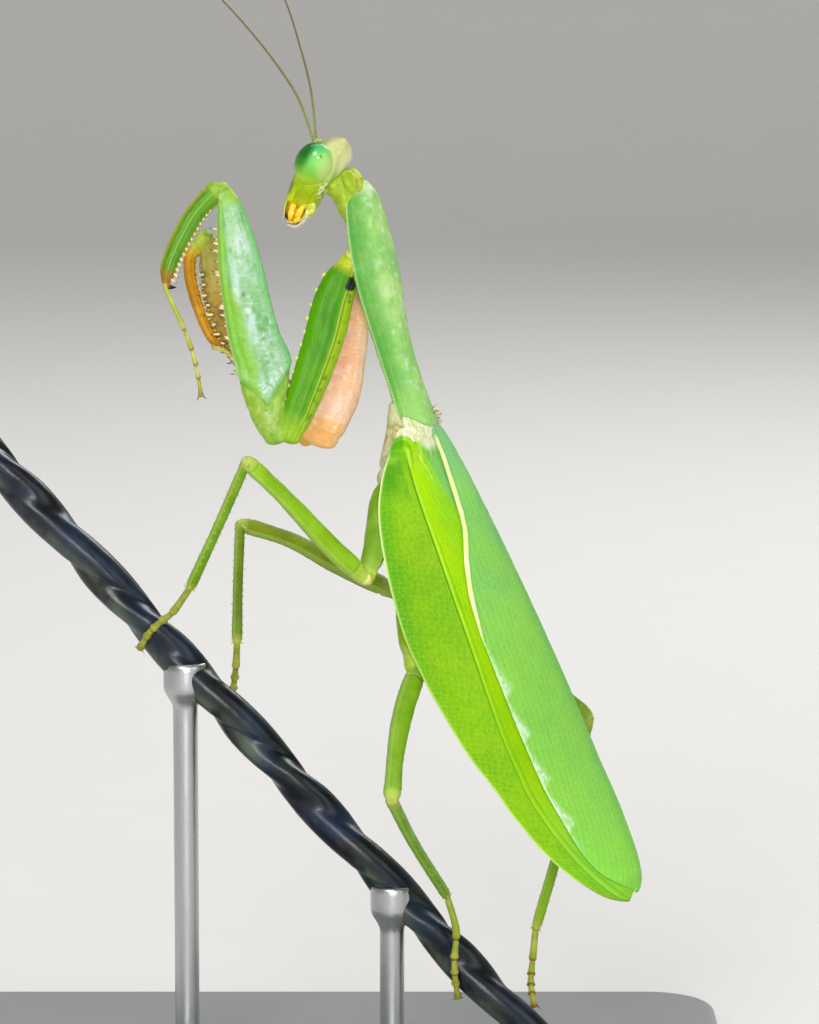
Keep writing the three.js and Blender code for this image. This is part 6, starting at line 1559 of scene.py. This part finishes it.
        # rounded joint that the base of the femur shares with the end of the coxa
        parts.append(ball(V(-3.5, -4.42, 70.22), (1.45, .95, 1.0), lambda p: mixc(lin("#82AE28"), lin("#9CC04C"), sstep(-.3, .4, fbm(p["v"] * 1.6, 149, 3))), 48, 32, disp=lambda d: .05 * np.sin(5 * d[:, 0] + 4 * d[:, 2]) + .03 * fbm(d * 2.4, 136, 3)))
    # lobes either side of the knee
    for k in (1, -1):
        e = fp.at(np.array([.975]))[0]
        Tn = fp.tan(np.array([.975]))[0]
        Dn = unit(up - Tn * (Tn @ up))
        An = np.cross(Tn, Dn)
        parts.append(ball(e + An * k * .55 + Dn * .25 + Tn * .05, (.24, .7, .8), lambda p: mixc(lin("#6CA434"), lin("#9CC468"), sstep(-.2, .5, fbm(p["v"] * 2.4, 146, 3))), ax=[An, Dn, Tn]))
    put(f"foreleg_femur_{nm}", parts, M["gloss"], [f"foreleg_{nm}_femur"])

    # ---- tibia with its spine row and claw
    def tibia_disp(T, TH, P, N):
        s, x = np.sin(TH), np.cos(TH)
        d = .07 * bell(s - .96, .06) + .05 * bell(s - .1, .08) - .05 * bell(s - .32, .1) - .05 * bell(s + .2, .12)
        d = d * sstep(.03, .15, T) * sstep(.99, .9, T)
        return d + .04 * fbm(P * 1.2, 150, 3) + .012 * fbm(P * 5, 151, 3) - .10 * bell(T - .07, .014)

    def tibia_col(p, inward=inward, key=key):
        P, T, TH, Nm = p["v"], p["T"], p["TH"], p["N"]
        s = np.sin(TH)
        n, n2 = fbm(P * .8, 152, 3), fbm(P * 3, 153, 3)
        g = mixc(lin("#62980A"), lin("#548C0A"), sstep(-.3, .4, n))
        g = mixc(g, lin("#98CC40"), bell(s - .1, .14) * .7)
        g = mixc(g, lin("#BCAA3A"), sstep(.72, .98, s) * .85)
        g = mixc(g, lin("#C8A848"), sstep(-.72, -.95, s) * .75)
        g = mixc(g, lin("#B06A24"), sstep(.82, .96, T) * .8)
        g = mixc(g, lin("#9CBC34"), sstep(.12, .03, T) * .9)
        g = g * np.array([.70, .80, .5])
        o = mixc(lin("#D0960C"), lin("#B88410"), sstep(-.3, .4, n))
        o = mixc(o, lin("#A0621A"), sstep(.6, .95, s) * .6)
        o = mixc(o, lin("#A8C440"), sstep(.2, .06, T) * .85)
        o = mixc(o, lin("#7A3E14"), sstep(.85, .98, T) * .6)
        inn = sstep(-.1, .35, Nm @ inward)
        if key == "R":
            inn = np.clip(inn + .35, 0, 1)
        return mixc(g, o, inn)

    parts = [paint(loft(tp, up, tibiaK, n=150, m=64, t0=-.02, disp=tibia_disp, k=6), tibia_col, (.28, 1, .8))]
    ts_ = np.linspace(.16, .94, 15)
    for la, L0 in ((.38, .62), (-.38, .55)):
        b, Tn, Dn, An = on_limb(tp, up, tibiaK, ts_ + (.02 if la < 0 else 0), -.82, la)
        parts.append(spikes(b + Dn * .08, -Dn + Tn * .6 + An * np.sign(la) * .2, L0 * (.9 + .55 * (ts_ - .24) / .7), .12, lin("#EBDDA6"), lin("#1A0C06"), sides=8, rings=7, dark=(.62, .86), power=.75, bend=Tn * .05))
    e, d_ = tp.at(np.array([1.]))[0], tp.tan(np.array([1.]))[0]
    claw_p = [e - d_ * .7, e + d_ * .15 - up * .1, e + d_ * .6 - up * .55, e + d_ * .82 - up * 1.3]
    parts.append(paint(loft(claw_p, OUT, [[0, .42, .42], [.35, .40, .38], [.7, .24, .22], [.92, .1, .09], [1, .04, .04]], n=50, m=26, k=4), lambda p: mixc(lin("#B4702A"), lin("#140A06"), sstep(.45, .78, p["T"])), (.18, 1, .4)))
    # knee ball and membrane between femur and tibia
    kc = (fp.at(np.array([1.]))[0] + tp.at(np.array([0.]))[0]) / 2
    parts.append(ball(kc, (.92, .74, .95), lambda p: mixc(lin("#78A428"), lin("#A8BE5C"), sstep(-.2, .5, fbm(p["v"] * 2.4, 155, 3))), disp=lambda d: .08 * fbm(d * 2.4, 156, 3)))
    put(f"foreleg_tibia_{nm}", parts, M["gloss"], [f"foreleg_{nm}_tibia"])

    put(f"foreleg_foot_{nm}", tarsus([tp.at(np.array([.97]))[0]] + [V(*q) for q in Zs], OUT, .27, 300 + ord(key), foot_col(158, "#A2AC3C", "#BCBC64", "#86682E", (.45, .62, .75, .86)), claw=.55, marks=(0, .45, .62, .75, .86, 1.), hairs=110),
        M["chitin"], [f"foreleg_{nm}_tarsus"])

# ------------------------------------------------------------------ walking legs
legSizes = {
    "mid": dict(coxa=[[0, 1.25, 1.25], [.4, 1.35, 1.35], [.8, 1.15, 1.15], [1, .85, .85]], femur=[[0, .8, .8], [.1, 1.0, 1.0], [.45, .92, .92], [.8, .76, .76], [.95, .8, .8], [1, .6, .6]], tibia=[[0, .52, .52], [.12, .5, .5], [.6, .48, .48], [.95, .52, .52], [1, .42, .42]]),
    "hind": dict(coxa=[[0, 1.3, 1.3], [.4, 1.35, 1.35], [.8, 1.15, 1.15], [1, .85, .85]], femur=[[0, .8, .8], [.1, 1.05, 1.05], [.4, 1.0, 1.0], [.8, .8, .8], [.95, .88, .88], [1, .65, .65]], tibia=[[0, .62, .62], [.12, .6, .6], [.6, .53, .53], [.95, .52, .52], [1, .42, .42]]),
}


def seg_col(seed, a, b, lo, hi, ends="#B8C860", belly=None):
    def f(p):
        P, T, TH = p["v"], p["T"], p["TH"]
        n, n2 = fbm(P * .5, seed, 3), fbm(P * 2.2, seed + 1, 3)
        c = mixc(lin(a), lin(b), sstep(-.3, .4, n))
        c = mixc(c, lin("#649C10"), sstep(.2, .6, n2) * .35)
        c = mixc(c, lin("#B6DC6A"), bell(np.abs(np.cos(TH)) - .97, .05) * .35)
        c = mixc(c, lin(ends), np.clip(sstep(lo, 0, T) + sstep(hi, 1, T), 0, 1) * .7)
        return c
    return f


for pair in ("mid", "hind"):
    for key, nm in (("L", "left"), ("R", "right")):
        z = legSizes[pair]
        # the far (R) and hind legs get darker, more olive colours than the near mid leg: partly their own tone, partly
        # painted shade for lying further from the light
        cf, ct_, cc = {"midL": (("#7CAA0C", "#8AB620"), ("#628C0E", "#70961A"), ("#6C9818", "#80A830")), "midR": (("#6C8008", "#7C9014"), ("#5E7A0C", "#6A8618"), ("#7C9418", "#8CA430")),
                       "hindL": (("#6C9A0C", "#7AA61E"), ("#68940E", "#78A420"), ("#7C9C1C", "#8CAA30")), "hindR": (("#6C8A10", "#7A9820"), ("#6C9410", "#7AA01C"), ("#7C9418", "#8CA430"))}[pair + key]
        cp, fp, tp = [Path(J[f"{pair}{key}_{q}"]) for q in ("coxa", "femur", "tibia")]
        c0 = V(*J[f"{pair}{key}_coxa"][0])
        ax_ = body((c0 - ROOT) @ TAIL - 1.2, 0, -4.6)
        cp = Path([c0 + (ax_ - c0) * .62] + [V(*q) for q in J[f"{pair}{key}_coxa"]])
        sd = {"midL": 170, "midR": 190, "hindL": 210, "hindR": 230}[pair + key]
        rg = np.random.default_rng(sd)

        def cx_disp(T, TH, P, N):
            return .10 * bell(np.sin(TH + .6), .12) + .09 * fbm(P * .9, 240, 4) - .14 * bell(T - .9, .02) - .1 * bell(T - .12, .03)

        parts = [paint(loft(cp, OUT, z["coxa"], n=80, m=54, t0=-.05, disp=cx_disp), seg_col(sd, *cc, .1, .8), (.34, 1, .9))]
        # trochanter: a bent collar between coxa and femur, with its pale membrane
        e0, e1 = cp.at(np.array([1.]))[0], fp.at(np.array([.0]))[0]
        mid = (e0 + e1) / 2
        parts.append(ball(mid, (.86, .86, .86), lambda p: mixc(lin("#CFC24A"), lin("#E4DE92"), sstep(-.2, .5, fbm(p["v"] * 2.2, 241, 3))), disp=lambda d: .1 * fbm(d * 2.2, 242, 3)))
        parts.append(paint(loft([e0 - cp.tan(np.array([1.]))[0] * .5, e0, e0 + (e1 - e0) * .6 + cp.tan(np.array([1.]))[0] * .2], OUT, [[0, .8, .8], [.4, .92, .92], [.8, .86, .86], [1, .7, .7]], n=34, m=40,
                                disp=lambda T, TH, P, N: .05 * fbm(P * 1.5, 243, 3) - .07 * bell(T - .35, .05)), seg_col(sd + 2, "#9ABE2C", "#B8CC44", .2, .7, "#E0B848"), (.34, 1, .9)))
        put(f"{pair}leg_coxa_{nm}", parts, M["chitin"], [f"{pair}leg_{nm}_coxa"])

        def fe_disp(T, TH, P, N):
            d = .05 * sum(bell(np.sin((TH - o) / 2), .05) for o in (.9, 2.25, 3.95, 5.35)) * sstep(.08, .2, T) * sstep(.99, .9, T)
            d -= .02 * sstep(.1, .25, T) * sstep(.95, .85, T)
            d += .04 * fbm(P * .9, 244, 3) + .012 * fbm(P * 4, 245, 3)
            return d - .11 * bell(T - .085, .010) - .08 * bell(T - .945, .010) * (np.sin(TH) > -.4)

        parts = [paint(loft(fp, DORSAL, z["femur"], n=190, m=64, t0=.0, disp=fe_disp), seg_col(sd + 4, *cf, .12, .93), (.32, 1, .8))]
        e, Tn = fp.at(np.array([.965]))[0], fp.tan(np.array([.965]))[0]
        Dn = unit(DORSAL - Tn * (Tn @ DORSAL))
        An = np.cross(Tn, Dn)
        tb_dir = tp.tan(np.array([.1]))[0]
        bendv = unit(tb_dir - Tn * (tb_dir @ Tn))
        side_v = np.cross(Tn, bendv)
        for k in (1, -1):
            parts.append(ball(e + side_v * k * .42 + bendv * .12 + Tn * .1, (.24, .55, .7), lambda p: mixc(lin("#84AC38"), lin("#B4C46C"), sstep(-.2, .5, fbm(p["v"] * 2.6, 246, 3))), ax=[side_v, bendv, Tn]))
        b, T1, D1, A1 = on_limb(fp, DORSAL, z["femur"], rg.uniform(.12, .95, 120), 0, 0)
        dd = unit(rg.normal(size=(120, 3)))
        dd = unit(dd - T1 * (dd * T1).sum(-1, keepdims=True))
        parts.append(spikes(b + dd * .82, dd + T1 * .7, rg.uniform(.14, .3, 120), .016, lin("#BFD88A"), lin("#8A8A4A"), sides=3, rings=2))
        spur = fp.at(np.array([.985]))[0]
        parts.append(spikes(np.array([spur + side_v * k * .35 + bendv * .15 for k in (1, -1)]), np.array([Tn + bendv * .5 + side_v * k * .3 for k in (1, -1)]), .5, .10, lin("#D8DC90"), lin("#5A3A18"), sides=8, rings=5))
        put(f"{pair}leg_femur_{nm}", parts, M["chitin"], [f"{pair}leg_{nm}_femur"])

        def ti_disp(T, TH, P, N):
            d = .022 * sum(bell(np.sin((TH - o) / 2), .08) for o in (.8, 2.3, 3.9, 5.5)) * sstep(.05, .15, T)
            return d + .018 * fbm(P * 1.6, 247, 3) - .05 * bell(T - .055, .008) + .03 * bell(T - .03, .02) - .05 * bell(T - .985, .008)

        parts = [paint(loft(tp, DORSAL, z["tibia"], n=230, m=40, t0=-.01, disp=ti_disp), seg_col(sd + 8, *ct_, .07, .93, "#A8A84C"), (.34, 1, .8))]
        ns = 15
        t = np.linspace(.1, .97, ns)
        for o in (.6, -.6, 2.5, -2.5):
            T1 = tp.tan(t)
            D1 = unit(DORSAL - (T1 @ DORSAL)[:, None] * T1)
            A1 = np.cross(T1, D1)
            dv = A1 * math.cos(o) + D1 * math.sin(o)
            parts.append(spikes(tp.at(t + rg.uniform(-.01, .01, ns)) + dv * .40, dv * .8 + T1 * .7, rg.uniform(.28, .46, ns), .075, lin("#C8CE8A"), lin("#7A4A20"), sides=6, rings=3, dark=(.5, .8)))
        m_ = 170
        t = rg.uniform(.05, .98, m_)
        T1 = tp.tan(t)
        dd = unit(rg.normal(size=(m_, 3)))
        dd = unit(dd - T1 * (dd * T1).sum(-1, keepdims=True))
        parts.append(spikes(tp.at(t) + dd * .4, dd + T1 * .8, rg.uniform(.18, .34, m_), .014, lin("#C4D090"), lin("#9A9A58"), sides=3, rings=2))
        e = tp.at(np.array([.985]))[0]
        T1 = tp.tan(np.array([1.]))[0]
        s1 = unit(np.cross(T1, OUT))
        parts.append(spikes(np.array([e + s1 * k * .34 for k in (1, -1)]), np.array([T1 + s1 * k * .5 for k in (1, -1)]), .55, .11, lin("#D0CE88"), lin("#3A2210"), sides=8, rings=6, dark=(.55, .85)))
        kc = (fp.at(np.array([1.]))[0] + tp.at(np.array([0.]))[0]) / 2
        parts.append(ball(kc, .56, lambda p: mixc(lin("#A4B44C"), lin("#CDD08C"), sstep(-.2, .5, fbm(p["v"] * 2.6, 248, 3))), disp=lambda d: .08 * fbm(d * 2.4, 249, 3)))
        put(f"{pair}leg_tibia_{nm}", parts, M["chitin"], [f"{pair}leg_{nm}_tibia"])
        put(f"{pair}leg_foot_{nm}", tarsus(J[f"{pair}{key}_tarsus"], OUT, .42, sd + 12, foot_col(sd + 13), claw=.7, hairs=120), M["chitin"], [f"{pair}leg_{nm}_tarsus"])

# ------------------------------------------------------------------ twisted wire
WDIR, WLEN = unit(WB - WA), float(np.linalg.norm(WB - WA))
WN = unit(V(0, 1, 0) - WDIR * WDIR[1])
WBI = np.cross(WDIR, WN)


def wire():
    n, m = 480, 96
    x = np.linspace(0, WLEN, n)
    th = np.linspace(0, 2 * np.pi, m, endpoint=False)
    Xx, Th = np.meshgrid(x, th, indexing="ij")
    tw = 4.01 - 2 * np.pi * Xx / 21.4
    d = Th - tw
    sn = 1.22 * np.sin(d)
    ins = np.maximum(1.32 ** 2 - sn ** 2, 0)
    lobe = np.where(ins > 0, 1.22 * np.cos(d) + np.sqrt(ins), 0)
    side_ = ((d + np.pi) % (2 * np.pi)) - np.pi
    k = 1.0 + .5 * sstep(-.3, .5, side_)
    r = np.maximum(1.72, lobe)
    h = np.clip(.5 + .5 * (lobe - 1.72) / k, 0, 1)
    r = 1.72 * (1 - h) + lobe * h + k * h * (1 - h) * (-.4 + .8 * sstep(-.3, .5, side_))
    groove = bell(side_ + 1.10, .05)
    r = r - .03 * groove
    r = r + .022 * fbm(np.stack([Xx * .22, np.cos(Th) * .6, np.sin(Th) * .6], -1), 260, 3) + .008 * fbm(np.stack([Xx * 1.4, np.cos(Th) * 3, np.sin(Th) * 3], -1), 261, 3)
    end = np.minimum(x, WLEN - x)
    r = r - (.22 * (1 - np.sqrt(np.clip(1 - (1 - np.clip(end / .22, 0, 1)) ** 2, 0, 1))))[:, None]
    P = WA + WDIR * Xx[..., None] + WN * (-.4 * np.cos(tw) + r * np.cos(Th))[..., None] + WBI * (-.4 * np.sin(tw) + r * np.sin(Th))[..., None]
    v = np.vstack([P.reshape(-1, 3), P[0].mean(0), P[-1].mean(0)])
    j = np.arange(m)
    j2 = (j + 1) % m
    t = np.vstack([np.stack([np.full(m, n * m), j2, j], -1), np.stack([np.full(m, n * m + 1), (n - 1) * m + j, (n - 1) * m + j2], -1)])
    p = oriented({"v": v, "q": faces_of(n, m), "t": t})
    g = np.r_[groove.ravel(), 0, 0]
    nn = fbm(v * .3, 262, 3)
    c = mixc(lin("#040A14"), lin("#0B1E36"), sstep(-.3, .5, nn))
    # a grey-green band on the side turned to the front and down-left: painted reflection, with a dusty tone broken up
    # by noise
    band = np.r_[bell(Th - 3.8, .38).ravel(), 0, 0]
    c = mixc(c, lin("#6A7660"), band * sstep(-.35, .45, fbm(v * np.array([.35, .35, .35]), 265, 4)) * .5)
    c = mixc(c, lin("#2E3A30"), sstep(.0, .5, fbm(v * np.array([.5, .5, .5]), 264, 4)) * .35)
    # the groove between the strands is darkened: painted shade
    c = mixc(c, lin("#02050A"), g * .8)
    p["col"] = c
    p["fx"] = np.stack([.30 + .08 * sstep(-.2, .5, nn), np.ones(len(v)), np.ones(len(v))], -1)
    out = [p]
    for e, sg in ((WA, -1), (WB, 1)):
        for q, r_ in ((e + WN * 0, .62),):
            a = [q - WDIR * sg * .6, q + WDIR * sg * .02]
            out.append(paint(loft(a, WN, [[0, r_, r_], [1, r_, r_]], n=6, m=30, k=4, cap=(.1, .08)), lin("#8A8C90"), (.3, .6, .3)))
    return out


put("twisted_wire", wire(), M["wire"], ["perch_wire"])

# ------------------------------------------------------------------ stand
def stand_base():
    lx, ly, h, r = 84., 64., 4., 7.
    a = np.linspace(0, np.pi / 2, 20)
    pts = []
    for cx, cy, a0 in ((1, 1, 0), (-1, 1, .5), (-1, -1, 1.), (1, -1, 1.5)):
        for q in a:
            pts.append((cx, cy, q + a0 * np.pi))
    pts = np.array(pts)
    ph = np.radians(np.linspace(0, 90, 9))
    prof = [(1 - math.sin(p), .55 - .55 * math.cos(p)) for p in ph] + [(0, z) for z in np.linspace(.55, h - .9, 6)[1:]] + [(.9 - .9 * math.cos(p), h - .9 + .9 * math.sin(p)) for p in ph[1:]]
    prof = [(i * (.55 if k < 9 else 1), z) for k, (i, z) in enumerate(prof)]
    rings = []
    for ins, z in prof:
        R = r - ins
        rings.append(np.stack([pts[:, 0] * (lx / 2 - r) + R * np.cos(pts[:, 2]), pts[:, 1] * (ly / 2 - r) + R * np.sin(pts[:, 2]), np.full(len(pts), z)], -1))
    m = len(pts)
    for k, z in ((.8, h), (.5, h), (.2, h)):
        rr = rings[len(prof) - 1].copy()
        rr[:, :2] *= k
        rr[:, 2] = z
        rings.append(rr)
    v = np.vstack(rings + [[0, 0, 0], [0, 0, h]])
    n = len(rings)
    j = np.arange(m)
    j2 = (j + 1) % m
    t = np.vstack([np.stack([np.full(m, n * m), j2, j], -1), np.stack([np.full(m, n * m + 1), (n - 1) * m + j, (n - 1) * m + j2], -1)])
    return paint(oriented({"v": v, "q": faces_of(n, m), "t": t}), lin("#8C8F90"), (.34, 1, 1))


put("stand_plate", [stand_base()], M["base"], ["stand_base"])
for i, c in enumerate(RODS):
    top = c[2] + .2
    z0 = 4.0
    prof = [(3.3, z0), (3.55, z0 + .12), (3.6, z0 + .4), (3.55, z0 + .7), (3.3, z0 + .85), (2.2, z0 + 1.05), (1.75, z0 + 1.4), (1.4, z0 + 1.9), (1.25, z0 + 2.6)]
    prof += [(1.25, z) for z in np.linspace(z0 + 2.6, top - 4.8, 24)[1:]]
    prof += [(1.3, top - 4.4), (1.6, top - 3.8), (2.0, top - 3.2), (2.16, top - 2.8), (2.2, top - 2.4)] + [(2.2, z) for z in (top - 1.6, top - .8, top - .25)] + [(2.12, top - .06), (2.0, top)]
    m = 56
    a = np.linspace(0, 2 * np.pi, m, endpoint=False)
    pr = np.array(prof)
    v = np.stack([c[0] + pr[:, :1] * np.cos(a), c[1] + pr[:, :1] * np.sin(a), np.repeat(pr[:, 1:], m, 1)], -1).reshape(-1, 3)
    n = len(pr)
    v = np.vstack([v, [c[0], c[1], z0], [c[0], c[1], top]])
    j = np.arange(m)
    j2 = (j + 1) % m
    t = np.vstack([np.stack([np.full(m, n * m), j2, j], -1), np.stack([np.full(m, n * m + 1), (n - 1) * m + j, (n - 1) * m + j2], -1)])
    put(f"stand_post_{i + 1}", [paint(oriented({"v": v, "q": faces_of(n, m), "t": t}), lin("#B9BBBD"), (.3, 1, 1))], M["rod"], [f"stand_rod_{i + 1}"])
